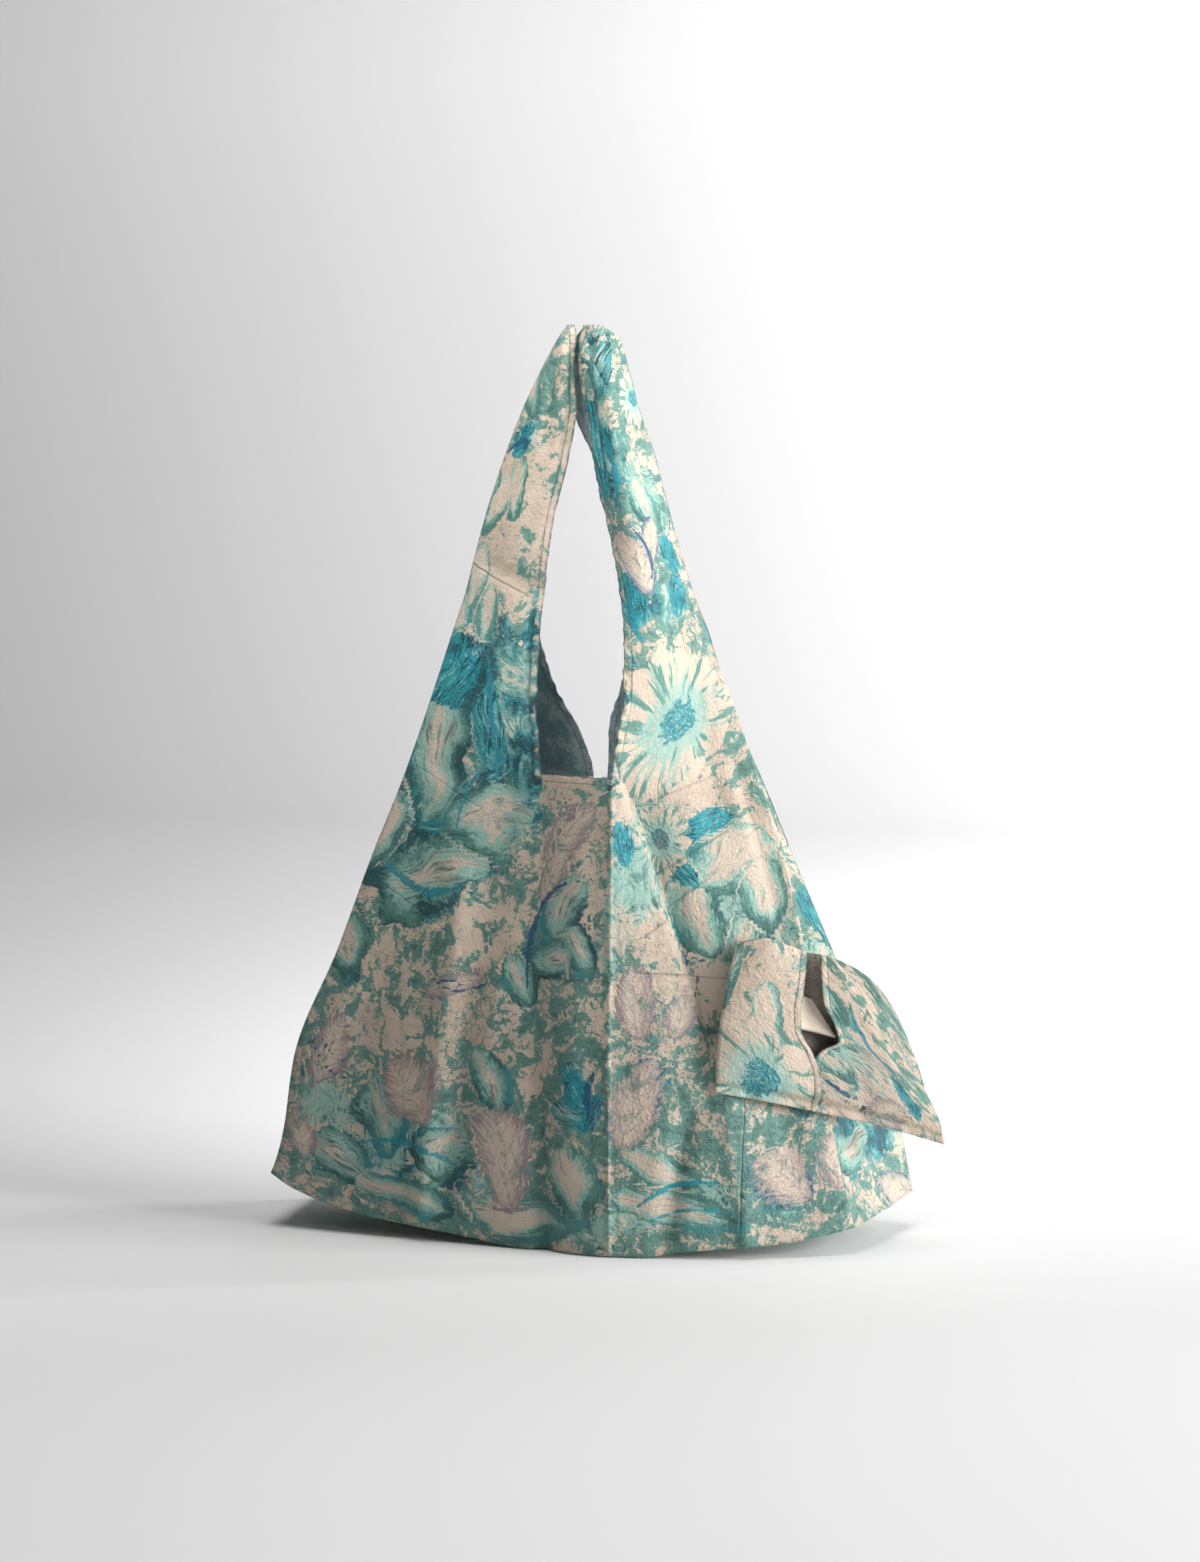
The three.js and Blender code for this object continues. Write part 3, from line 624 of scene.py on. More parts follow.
def sew_cloth(name, points, flat, fields, kept=None, turned=False, thickness=CLOTH):
    """Mesh of a grid in millimetres: its kept cells as quads, its flat places as UV in metres, its fields as
    attributes. turned makes the other side the printed one."""
    quads = grid_quads(*points.shape[:2])
    if kept is not None:
        quads = quads[kept]
    used, index = np.unique(quads, return_inverse=True)
    index = index.reshape(-1, 4)
    if turned:
        index = np.ascontiguousarray(index[:, ::-1])
    mesh = bpy.data.meshes.new(name)
    mesh.vertices.add(len(used))
    mesh.vertices.foreach_set("co", (points.reshape(-1, 3)[used] * MM).ravel())
    mesh.loops.add(index.size)
    mesh.loops.foreach_set("vertex_index", index.ravel())
    mesh.polygons.add(len(index))
    mesh.polygons.foreach_set("loop_start", np.arange(0, index.size, 4))
    mesh.update(calc_edges=True)
    mesh.polygons.foreach_set("use_smooth", [True] * len(index))
    place = mesh.uv_layers.new(name="flat_cloth")
    place.data.foreach_set("uv", (flat.reshape(-1, 2)[used][index.ravel()] * MM).ravel())
    for label, values in fields.items():
        attribute = mesh.attributes.new(label, "FLOAT_VECTOR", "POINT")
        attribute.data.foreach_set("vector", values.reshape(-1, 3)[used].ravel())
    cloth = bpy.data.objects.new(name, mesh)
    bpy.context.scene.collection.objects.link(cloth)
    layer = cloth.modifiers.new("cloth_layer", "SOLIDIFY")
    layer.thickness = thickness * MM
    layer.offset = 0
    layer.material_offset_rim = 0
    return cloth


def dye(code):
    """Linear colour of a six-figure code."""
    parts = [int(code[k:k + 2], 16) / 255 for k in (0, 2, 4)]
    return tuple((c / 12.92 if c < 0.04045 else ((c + 0.055) / 1.055) ** 2.4) for c in parts) + (1.0,)


def both_ways(operation):
    """An operator that adds a Math node, and its reflected form for a number on the left."""
    def plain(self, other):
        return self.math(operation, self, other)

    def reflected(self, other):
        return self.math(operation, other, self)

    return plain, reflected


class Ink:
    """One socket of a cloth's shader. Each operator adds a Math node, and node() adds any other kind."""

    def __init__(self, tree, socket=None):
        self.tree = tree
        self.socket = socket

    def node(self, kind, settings, sockets, output=0):
        """Adds a node: its settings first, then the values or links of its sockets by number or name."""
        made = self.tree.nodes.new("ShaderNode" + kind)
        for name, value in settings.items():
            setattr(made, name, value)
        for name, value in sockets.items():
            if isinstance(value, Ink):
                self.tree.links.new(value.socket, made.inputs[name])
            else:
                made.inputs[name].default_value = value
        return Ink(self.tree, made.outputs[output] if len(made.outputs) else None)

    def math(self, operation, *values):
        return self.node("Math", {"operation": operation}, dict(enumerate(values)))

    __add__, __radd__ = both_ways("ADD")
    __sub__, __rsub__ = both_ways("SUBTRACT")
    __mul__, __rmul__ = both_ways("MULTIPLY")
    __truediv__, __rtruediv__ = both_ways("DIVIDE")
    __pow__, __rpow__ = both_ways("POWER")

    def __abs__(self):
        return self.math("ABSOLUTE", self)

    def most(self, other):
        return self.math("MAXIMUM", self, other)

    def least(self, other):
        return self.math("MINIMUM", self, other)

    def step(self, low, high):
        """0 where the value is low, 1 where it is high, smooth between; low may be the larger."""
        sockets = {"Value": self, "From Min": low, "From Max": high}
        return self.node("MapRange", {"interpolation_type": "SMOOTHSTEP", "clamp": True}, sockets)

    def parts(self):
        """The three numbers of a vector."""
        split = self.node("SeparateXYZ", {}, {0: self}).socket.node
        return [Ink(self.tree, output) for output in split.outputs]

    def pack(self, x, y, z):
        return self.node("CombineXYZ", {}, {0: x, 1: y, 2: z})

    def vector(self, operation, sockets):
        return self.node("VectorMath", {"operation": operation}, sockets)

    def field(self, name):
        """The three numbers of a vector attribute of the mesh."""
        return self.node("Attribute", {"attribute_name": name}, {}, "Vector").parts()

    def noise(self, place, scale, detail=3.0, rough=0.5, warp=0.0, output=0):
        """Blender's smooth noise at a place; its first output is a value round 0.5, its second a vector."""
        sockets = {"Vector": place, "Scale": scale, "Detail": detail, "Roughness": rough, "Distortion": warp}
        return self.node("TexNoise", {"noise_dimensions": "3D"}, sockets, output)

    def drift(self, place, scale, detail, rough):
        """Noise as a vector whose parts lie round 0."""
        noise = self.noise(place, scale, detail, rough, 0.0, 1)
        return self.vector("SUBTRACT", {0: noise, 1: (0.5, 0.5, 0.5)})

    def paint(self, colour, *coats):
        """A colour with coats painted over it in turn, each a colour and its share from 0 to 1."""
        for coat, share in coats:
            sockets = {0: share, 6: colour, 7: coat}
            colour = self.node("Mix", {"data_type": "RGBA", "blend_type": "MIX"}, sockets, 2)
        return colour


def blank_material(name):
    """A new material without nodes, and the ink that draws its shader."""
    material = bpy.data.materials.new(name)
    material.use_nodes = True
    material.node_tree.nodes.clear()
    return material, Ink(material.node_tree)


CREAM = dye("dccbb8")
SHADE_CREAM = dye("c9b5a2")
SAGE = dye("5b9187")
DARK_SAGE = dye("2b5857")
MINT = dye("9cc6ba")
TURQUOISE = dye("0f99a6")
DEEP_TEAL = dye("0b4650")
NAVY = dye("1b587f")
MAUVE = dye("93848a")
PALE_MAUVE = dye("c3b1a6")
SLATE = dye("8fb8cb")
# Grey of the stitches and edge thread, also laid on as painted shade along crease lines and gusset seams
STITCH_AND_SHADE = dye("4f5f58")
# Dark brown laid over the pouch's inner side as painted shade
PAINTED_SHADE_BROWN = dye("7a6048")
# What daylight through the cloth takes on from dark and from pale print, on each side of it
RIGHT_SIDE_GLOW = ((0.44, 0.46, 0.43, 1.0), (0.8, 0.73, 0.63, 1.0))
WRONG_SIDE_GLOW = ((0.32, 0.5, 0.62, 1.0), (0.64, 0.8, 0.87, 1.0))
# From the hemmed edge, in millimetres: the row of stitches, and where the turned-in cloth ends
STITCH_LINE = 4.9
HEM_END = 5.0
# Fine crease lines pressed in by folding, dented into the bump and darkened with painted shade: from (u1, v1)
# to (u2, v2) on the flat cloth in millimetres, and a depth, which also sets how dark the painted shade is
PRESSED = (
    (66, 252, 138, 292, 0.9), (58, 218, 126, 262, 0.7), (52, 196, 160, 188, 0.8), (64, 306, 128, 328, 0.5),
    (130, 10, 133, 120, 0.6), (70, 120, 150, 150, 0.5), (-120, 330, -60, 300, 0.4),
    (-150, 250, -70, 210, 0.5), (-160, 90, -60, 120, 0.5), (-24, 190, 38, 190, 1), (-90, 472, -30, 448, 1),
    (-120, 160, -110, 20, 0.5),
)


def print_cloth(name, wrong_side, glow_share, shade=0.0):
    """Printed crepe: cream ground, ragged sage, brushed mint and turquoise, petals, leaves, flowers and
    strokes. glow_share is how much light comes through it, and shade is how much painted shade, a dark
    brown, is laid over a wrong side that faces in."""
    material, ink = blank_material(name)
    place = ink.node("UVMap", {"uv_map": "flat_cloth"}, {})
    u, v = place.parts()[:2]
    sway = ink.vector("SCALE", {0: ink.drift(place, 55.0, 3.0, 0.55), 3: 0.012})
    drawn = ink.vector("ADD", {0: place, 1: sway})
    lean_x, lean_y, lean_z = ink.drift(place, 26.0, 1.0, 0.4).parts()
    sage_wash, mint_wash, teal_wash = ink.field("wash")
    flower_tone, leaf_tone, stroke_tone = ink.field("tone")
    stroke, hem, petal_tone = ink.field("mark")

    # Ground, ragged sage islands and the cracks between them
    grain = ink.noise(drawn, 520.0, 3.0, 0.6)
    specks = ink.noise(drawn, 190.0, 4.0, 0.62)
    islands = ink.noise(drawn, 62.0, 7.0, 0.68, 0.5)
    cracks = abs(ink.noise(drawn, 85.0, 4.0, 0.6) - 0.5)
    slow = ink.noise(place, 20.0, 2.0)
    ragged = (islands * 0.8 + specks * 0.2 + sage_wash * 0.2).step(0.488, 0.502)
    web = cracks.step(0.028, 0.014) * (slow + sage_wash * 0.5).step(0.38, 0.5)
    sage_colour = ink.paint(
        SAGE,
        (MINT, (specks * 0.4 + grain * 0.6).step(0.54, 0.62) * 0.5),
        (DARK_SAGE, (islands * 0.7 + specks * 0.3 + sage_wash * 0.2).step(0.53, 0.62) * 0.65),
    )
    colour = ink.paint(
        CREAM,
        (SHADE_CREAM, (slow * 0.6 + specks * 0.4).step(0.4, 0.62)),
        (sage_colour, ragged.most(web) * 0.95),
    )

    # Brushed mint and turquoise, in slanting streaks and in fibres that follow one slow swirl
    swirl = ink.noise(place, 9.0, 1.5, 0.4)
    fibre = ink.noise(ink.pack(swirl * 34.0, specks * 1.6, 0.0), 1.7, 2.5, 0.6)
    broad = ink.noise(ink.pack(swirl * 16.0, slow * 3.0, 2.0), 1.5, 2.0, 0.5)
    slant = ink.pack(u * 150.0 + lean_x * 18.0, v * 44.0 + u * 40.0 + lean_y * 14.0, 4.0)
    streak = ink.noise(slant, 1.0, 2.5, 0.62) * 0.75 + specks * 0.25
    patch = ink.noise(place, 34.0, 2.0, 0.5, 0.6)
    streaked_patch = streak * 0.5 + patch * 0.5
    mint_share = (mint_wash + (streak - 0.5) * 1.5 + (broad - 0.5) * 1.3).step(0.34, 0.5)
    mint_colour = ink.paint(
        MINT,
        (SAGE, (streak * 0.5 + fibre * 0.2 + broad * 0.3).step(0.49, 0.59)),
        (DARK_SAGE, (streak * 0.6 + broad * 0.4).step(0.56, 0.63) * 0.8),
        (CREAM, streaked_patch.step(0.47, 0.42) * 0.75),
    )
    teal_share = teal_wash + (streak - 0.5) * 1.5 + (broad - 0.5) * 0.9 + (specks - 0.5) * 0.6
    teal_colour = ink.paint(
        TURQUOISE,
        (DEEP_TEAL, (1.0 - streak * 0.5 - patch * 0.5 + (grain - 0.5) * 0.3).step(0.44, 0.56) * 0.95),
        (SAGE, (patch * 0.7 + specks * 0.3).step(0.49, 0.55) * 0.75),
        (MINT, (streak * 0.45 + specks * 0.1 + patch * 0.45).step(0.5, 0.6) * 0.9),
        (CREAM, streaked_patch.step(0.57, 0.63) * 0.8),
    )
    colour = ink.paint(
        colour,
        (mint_colour, mint_share * 0.95),
        (teal_colour, teal_share.step(0.46, 0.62) * 0.95),
    )

    # Petals: a pale heart that darkens to a brushed rim, with fibres that spread from the foot
    across, along, petal_near = ink.field("petal")
    across = across + lean_x * 1.3
    along = along + lean_y * 1.2
    spread = ink.noise(ink.pack(across / (along + 1.7) * 7.0, along * 0.8, petal_tone * 9.0), 2.2, 3.0, 0.65)
    width = (1.0 - along * along).most(0.0) ** 0.5
    inside = width - abs(across) + (spread - 0.5) * 0.5 + (specks - 0.5) * 0.5
    petal_share = inside.step(0.0, 0.08) * petal_near.step(0.02, 0.1)
    depth = inside + (along - 0.2) * 0.3 + (spread - 0.5) * 0.75 + lean_z * 0.9 + (specks - 0.5) * 0.3
    hairs = spread + petal_tone * 0.15
    heart = ink.paint(
        SAGE,
        (MINT, depth.step(0.2, 0.42)),
        (CREAM, (depth - petal_tone * 0.35).step(0.4, 0.6)),
        (SAGE, hairs.step(0.58, 0.64) * 0.55),
        (DARK_SAGE, hairs.step(0.67, 0.74) * 0.7),
    )
    rim = ink.paint(
        SAGE,
        (DARK_SAGE, (spread * 0.6 + specks * 0.4).step(0.46, 0.54)),
        (DEEP_TEAL, (spread * 0.5 + slow * 0.5 + lean_x).step(0.45, 0.55) * 0.9),
        (TURQUOISE, (streak * 0.6 + lean_y).step(0.34, 0.42) * 0.8),
    )
    bold = ink.paint(
        TURQUOISE,
        (DEEP_TEAL, (spread * 0.7 + grain * 0.3).step(0.5, 0.58)),
        (MINT, (spread * 0.5 + streak * 0.5).step(0.46, 0.4) * 0.85),
        (NAVY, petal_tone.step(1.05, 1.15) * 0.8),
    )
    petal_colour = ink.paint(
        heart,
        (rim, (depth + (grain - 0.5) * 0.2).step(0.3, 0.1) * (petal_tone * 1.4 + 0.3).least(0.92)),
        (bold, (petal_tone + (spread - 0.5) * 0.5).step(0.6, 0.78)),
    )
    colour = ink.paint(colour, (petal_colour, petal_share * 0.97))

    # Leaves: pale inside, a broad jagged border and veins that slant from the midrib
    across, along, leaf_near = ink.field("leaf")
    across = across + lean_z * 0.9
    along = along + lean_x * 0.9
    width = (1.0 - along * along).most(0.0) ** 0.6
    vein_place = along * 2.4 - abs(across) * 1.7 + 20.0 + (slow - 0.5) * 1.5
    ribs = ink.noise(ink.pack(vein_place * 2.0, across * 1.2, leaf_tone * 9.0), 2.0, 3.0, 0.6)
    inside = width - abs(across) + (specks - 0.5) * 0.7 + (ribs - 0.5) * 0.9
    leaf_share = inside.step(0.0, 0.06) * leaf_near.step(0.02, 0.1)
    veins = abs(ink.math("FRACT", vein_place + (specks - 0.5) * 0.5) - 0.5)
    midrib = abs(across + (specks - 0.5) * 0.15)
    vein_share = veins.step(0.1, 0.03).most(midrib.step(0.07, 0.02))
    border = (inside + (ribs - 0.5) * 0.6).step(0.62, 0.3)
    edge_line = inside + (ribs - 0.5) * 0.9 + (specks - 0.5) * 0.4 + lean_y * 1.6
    blue_edge = ink.paint(NAVY, (TURQUOISE, specks.step(0.46, 0.56) * 0.6))
    feathered = ink.paint(PALE_MAUVE, (blue_edge, edge_line.step(0.36, 0.2)))
    leaf_rim = ink.paint(MAUVE, (feathered, leaf_tone.step(0.5, 0.7)))
    leaf_colour = ink.paint(
        CREAM,
        (PALE_MAUVE, (ribs * 0.6 + slow * 0.2 + inside * -0.12 + 0.16).step(0.48, 0.56)),
        (MAUVE, (ribs * 0.8 + grain * 0.2).step(0.58, 0.64) * 0.5),
        (leaf_rim, border * (0.2 + 0.6 * ribs.step(0.44, 0.54)) + inside.step(0.22, 0.05) * 0.3),
        (MAUVE, vein_share * specks.step(0.42, 0.56) * 0.6),
        (SAGE, (islands * 0.5 + ribs * 0.5).step(0.57, 0.6) * 0.6),
    )
    colour = ink.paint(colour, (leaf_colour, leaf_share * (0.55 + 0.45 * islands.step(0.6, 0.52))))

    # Flowers: rounded petals, streaked from their feet, round a stippled disc with a pale halo
    petals_round = 11
    petal_x, petal_y, flower_near = ink.field("flower")
    petal_x = petal_x + lean_x * 0.35
    petal_y = petal_y + lean_y * 0.35
    radius = (petal_x * petal_x + petal_y * petal_y) ** 0.5
    angle = ink.math("ARCTAN2", petal_y, petal_x)
    ray_place = ink.pack(petal_x / (radius + 0.02), petal_y / (radius + 0.02), radius * 0.3)
    rays = ink.noise(ray_place, 5.5, 3.0, 0.65)
    loose = ink.noise(ink.pack(petal_x, petal_y, flower_tone * 20.0), 2.2, 2.0, 0.5)
    turns = angle * (petals_round / (2 * math.pi)) + 10.0 + (loose - 0.5) * 1.2
    between = abs(ink.math("FRACT", turns) - 0.5) * 2.0
    tip = (1.0 - between * between).most(0.0) ** 0.5
    reach = 0.68 + tip * 0.24 + (loose - 0.5) * 0.5 + (specks - 0.5) * 0.1
    flower_share = (reach - radius).step(0.0, 0.03) * flower_near.step(0.02, 0.08)
    gap = (between + (rays - 0.5) * 0.5).step(0.7, 0.96) * radius.step(0.4, 0.66)
    halo = (radius + (rays - 0.5) * 0.5).step(0.5, 0.34)
    stipple = (ink.noise(place, 560.0, 2.0, 0.6) * 0.6 + specks * 0.4).step(0.45, 0.53)
    disc = (0.27 + (specks - 0.5) * 0.36 + (grain - 0.5) * 0.14 - radius).step(0.0, 0.03)
    disc_colour = ink.paint(
        MINT,
        (TURQUOISE, grain.step(0.4, 0.5)),
        (DEEP_TEAL, stipple * 0.38),
        (MAUVE, flower_tone.step(0.4, 0.5) * (1.0 - stipple) * 0.8),
    )
    flower_colour = ink.paint(
        CREAM,
        (MINT, (rays + (0.5 - radius) * 0.35 + flower_tone * 0.14).step(0.5, 0.58)),
        (SAGE, (rays + (loose - 0.5) * 0.4 + flower_tone * 0.1).step(0.57, 0.63) * 0.85),
        (ink.paint(MINT, (SAGE, rays.step(0.45, 0.6))), gap * 0.75),
        (DEEP_TEAL, (rays + flower_tone * 0.2).step(0.76, 0.84) * 0.7),
        (ink.paint(MINT, (CREAM, grain.step(0.5, 0.6) * 0.5)), halo * 0.85),
        (disc_colour, disc * 0.95),
    )
    colour = ink.paint(colour, (flower_colour, flower_share))

    # Thin strokes of blue, turquoise and mauve
    line = (stroke + (specks - 0.5) * 0.9 + (fibre - 0.5) * 0.9).step(0.6, 0.7)
    line_colour = ink.paint(
        NAVY,
        (TURQUOISE, stroke_tone.step(0.3, 0.45)),
        (MAUVE, stroke_tone.step(0.6, 0.8)),
    )
    colour = ink.paint(colour, (line_colour, line * 0.9))

    # Fine crease lines pressed in where the bag was folded up: dents in the bump, and painted shade along
    # them
    crease_dents_and_shade = 0.0
    u = u * (1 / MM)
    v = v * (1 / MM)
    for u1, v1, u2, v2, deep in PRESSED:
        length = math.hypot(u2 - u1, v2 - v1)
        run_u = (u2 - u1) / length
        run_v = (v2 - v1) / length
        off = abs((u - u1) * run_v - (v - v1) * run_u + (specks - 0.5) * 2.0)
        along = (u - u1) * run_u + (v - v1) * run_v
        ends = along.step(0.0, 8.0) * along.step(length, length - 8.0)
        crease_dents_and_shade = crease_dents_and_shade + off.step(1.3, 0.0) * ends * deep

    # The hems' stitching line and the thread along their edges. Painted shade darkens the crease lines, and
    # at the gussets' seams the dark edge line is painted shade
    hem = hem * FAR_FROM_HEM
    stitch = abs(hem - STITCH_LINE).step(0.7, 0.25)
    colour = ink.paint(
        colour,
        # painted shade along the crease lines
        (STITCH_AND_SHADE, crease_dents_and_shade * 0.35),
        (STITCH_AND_SHADE, stitch * (0.3 + 0.5 * grain.step(0.46, 0.6))),
        (CREAM, hem.step(4.3, 3.6) * specks.step(0.5, 0.56) * 0.6),
        # dark line at the very edge: thread on the hems, painted shade at the gussets' seams
        (STITCH_AND_SHADE, hem.step(1.5, 0.5) * (0.35 + 0.5 * specks.step(0.44, 0.58))),
    )

    paleness = (ink.node("RGBToBW", {}, {0: colour}) * 1.6).least(1.0)
    dark_glow, pale_glow = RIGHT_SIDE_GLOW
    if wrong_side:
        colour = ink.paint(
            colour,
            (SLATE, 0.46),
            (DEEP_TEAL, hem.step(HEM_END + 1.0, HEM_END) * 0.45),
            # painted shade on a side that faces in
            (PAINTED_SHADE_BROWN, shade),
        )
        dark_glow, pale_glow = WRONG_SIDE_GLOW
    crepe = ink.noise(place, 430.0, 3.0, 0.65)
    crinkle = ink.noise(place, 200.0, 3.0, 0.6)
    height = crepe * 1.1 + crinkle * 0.9 - stitch * 0.3 - crease_dents_and_shade
    bump = ink.node("Bump", {}, {"Height": height, "Strength": 0.75, "Distance": 0.0014})
    face = ink.node("BsdfPrincipled", {}, {
        "Base Color": colour,
        "Roughness": 0.5 + (crinkle - 0.5) * 0.25,
        "Normal": bump,
        "Sheen Weight": 0.1,
        "Specular IOR Level": 0.42,
    })
    dark_light = ink.node("BsdfTranslucent", {}, {"Color": dark_glow, "Normal": bump})
    pale_light = ink.node("BsdfTranslucent", {}, {"Color": pale_glow, "Normal": bump})
    glow = ink.node("MixShader", {}, {0: paleness, 1: dark_light, 2: pale_light})
    shader = ink.node("MixShader", {}, {0: glow_share, 1: face, 2: glow})
    ink.node("OutputMaterial", {}, {"Surface": shader})
    return material


right_side = print_cloth("printed_crepe", False, 0.22)
wrong_side = print_cloth("crepe_wrong_side", True, 0.6)


def finish_cloth(cloth, node, inner=wrong_side):
    cloth.data.materials.append(right_side)
    cloth.data.materials.append(inner)
    cloth.modifiers["cloth_layer"].material_offset = 1
    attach(cloth, "root")
    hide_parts(node)


front_cloth = sew_cloth("front_cloth", front, front_flat, print_fields(front_flat, front_hem, front_print),
                        front_kept)
finish_cloth(front_cloth, "front_panel")

# The back panel: the same cut in the same crepe, hung a little wider under a lower and narrower neck.
# Its wrong side shows through the open neck.
BACK_NECK = 312
BACK_ROWS = np.array([
    [0, -212, 48, -110, 74, -20, 76, 34, 90, 134, 80, 231, 48],
    [60, -204, 45, -106, 84, -20, 72, 33, 88, 130, 80, 223, 46],
    [120, -196, 42, -100, 78, -19, 69, 30, 85, 120, 76, 207, 43],
    [200, -165, 37, -88, 72, -18, 67, 24, 82, 100, 68, 173, 38],
    [265, -141, 34, -76, 65, -17, 68, 18, 80, 86, 62, 146, 34],
    [312, -124, 30, -66, 58, -7, 76, 4, 77, 78, 58, 127, 31],
    [345, -112, 28, -64, 52, -15, 72, 5, 73, 70, 52, 113, 28],
    [380, -101, 22, -66, 46, -33, 63, 16, 64, 64, 47, 100, 22],
    [420, -90, 12, -64, 38, -41, 50, 27, 50, 62, 40, 90, 12],
    [455, -81, 1, -59, 31, -41, 38, 30, 40, 58, 34, 79, 1],
    [500, -69, 1, -50, 27, -34, 30, 20, 30, 44, 31, 65, 1],
    [545, -54, 1, -36, 22, -18, 20, 5, 21, 30, 26, 53, 1],
    [580, -40, 1, -23, 18, -10, 13, -8, 15, 20, 22, 41, 1],
    [610, -25, 1, -17, 11, -12, 8, -9, 10, 14, 15, 33, 1],
    [626, -16, 1, -12, 5, -8, 4, -5, 5, 13, 8, 28, 1],
    [636, -9, 1, -6.5, 1, -4, 1, 3.5, 1, 9, 1, 14.5, 1],
])
BACK_LIFT = np.array([[-212, 30], [-150, 13], [-60, 4], [-25, 0], [62, 0], [95, 4], [190, 13], [231, 25]])
BACK_FOLDS = np.array([
    [60, 300, 90, 40, 18, 6, 0],
    [-60, 280, -100, 60, 14, 6, 0],
    [4, 312, 20, 20, 9, 4, 0],
    [34, 300, 36, 4, 1.6, -1.4, 1],
    [-130, 200, -160, 40, 12, 5, 0],
    [120, 240, 165, 40, 14, 5, 0],
    [-30, 260, -44, 60, 9, -4, 0],
    [-150, 120, 60, 170, 2.0, 1.2, 1],
])
back, back_flat, back_hem, back_kept = make_panel(BACK_ROWS, BACK_NECK, BACK_LIFT, BACK_FOLDS, -1, 31)
back_print = scatter_print(8, (-230, 0), (230, 640))
back_cloth = sew_cloth("back_cloth", back, back_flat, print_fields(back_flat, back_hem, back_print),
                       back_kept, turned=True)
finish_cloth(back_cloth, "back_panel")

# The gussets: two long strips of the crepe, sewn between the panels' side edges. Each is folded in along
# its middle where the bag narrows and bows out near the floor.
GUSSET_ROWS = LOW_ROWS + ARM_ROWS
GUSSET_CELLS = 36
GUSSET_CRINKLE = 0.9
SEAM_STEP = 0.75
# How near each gusset seam, in millimetres, the shader draws its edge marks, whose dark line is painted shade
SEAM_SHADE = 2.6
RIGHT_TUCK = np.array([[0, -4], [60, 2], [120, 14], [200, 34], [265, 38], [331, 24], [400, 6], [440, 0]])
LEFT_TUCK = np.array([[0, -6], [60, 4], [120, 18], [200, 32], [265, 34], [331, 22], [400, 6], [440, 0]])


def seam_edges(points, inward):
    """A panel's points moved a little into the bag along its level normals, where a gusset is sewn on."""
    normal = cloth_normals(points) * [1, 1, 0]
    normal = normal / np.linalg.norm(normal, axis=-1, keepdims=True)
    return points + SEAM_STEP * np.where(normal[..., 1:2] * inward < 0, -normal, normal)


front_seams = seam_edges(front, 1)
back_seams = seam_edges(back, -1)


def gusset_surface(column, tucks, outward, seed):
    """Rows run straight from the front panel's edge to the back panel's; the middle is moved in by
    tuck times (1 - |2v - 1|), rounded at the fold."""
    start = front_seams[:GUSSET_ROWS, column]
    end = back_seams[:GUSSET_ROWS, column]
    v = np.linspace(0, 1, GUSSET_CELLS + 1)[None, :]
    points = start[:, None] * (1 - v[..., None]) + end[:, None] * v[..., None]
    tuck = follow(tucks[:, 0], tucks[:, 1], start[:, 2])[:, None]
    fold = 1 - np.sqrt((2 * v - 1) ** 2 + 0.004)
    points[..., 0] -= outward * tuck * np.maximum(fold, 0)
    across = length_along(points)
    across -= across[:, GUSSET_CELLS // 2:GUSSET_CELLS // 2 + 1]
    flat = np.stack([across, np.broadcast_to(start[:, None, 2], across.shape)], -1)
    ease = np.clip(np.minimum(v, 1 - v) * 8, 0, 1)
    points[..., 0] += outward * GUSSET_CRINKLE * crumple(flat, seed) * ease
    return points, flat


def from_ends(across):
    """How far each point lies along its row from the nearer end, given how far each is along it."""
    return np.minimum(across - across[:, :1], across[:, -1:] - across)


gusset_feet = []
for name, node, column, tucks, outward, seed in (
    ("left_gusset", "gusset_left", 0, LEFT_TUCK, -1, 61),
    ("right_gusset", "gusset_right", -1, RIGHT_TUCK, 1, 71),
):
    points, flat = gusset_surface(column, tucks, outward, seed)
    motifs = scatter_print(seed, (-60, 0), (60, 440))
    from_seam = from_ends(flat[..., 0])
    # Within SEAM_SHADE of each seam the shader draws the hem-edge marks; the dark line right at the seam is
    # painted shade
    fields = print_fields(flat, np.where(from_seam < SEAM_SHADE, from_seam, FAR_FROM_HEM), motifs)
    gusset = sew_cloth(name, points, flat, fields, turned=outward < 0)
    finish_cloth(gusset, node)
    gusset_feet.append(points[0])

# The base: a strip of the crepe sewn to the bottom edges of the panels and gussets. It lies on the
# floor in the middle and is lifted at its ends.
BASE_ROWS = 50
BASE_CRINKLE = 0.6


def coons(low, high, left, right, corners, u, v):
    """The patch between four edges: both rulings less the bilinear of the corners."""
    ruled = low * (1 - v) + high * v + left * (1 - u) + right * u
    low_line = corners[0] * (1 - u) + corners[1] * u
    high_line = corners[2] * (1 - u) + corners[3] * u
    return ruled - low_line * (1 - v) - high_line * v


def resample(line, count):
    """Even places along a polyline, by its own numbering."""
    old = np.linspace(0, 1, len(line))
    new = np.linspace(0, 1, count)
    return np.stack([np.interp(new, old, line[:, k]) for k in range(3)], -1)


def base_surface():
    """The patch between the panels' bottom edges and the gussets' feet, with crinkles that only rise."""
    low = front_seams[0]
    high = back_seams[0]
    left, right = [resample(foot, BASE_ROWS + 1)[:, None] for foot in gusset_feet]
    u = np.linspace(0, 1, len(low))[None, :, None]
    v = np.linspace(0, 1, BASE_ROWS + 1)[:, None, None]
    points = coons(low, high, left, right, (low[0], low[-1], high[0], high[-1]), u, v)
    points[..., 2] += CLOTH
    flat = points[..., :2].copy()
    points[..., 2] += np.maximum(0, BASE_CRINKLE * crumple(flat, 91)) * np.sin(math.pi * v[..., 0])
    return points, flat


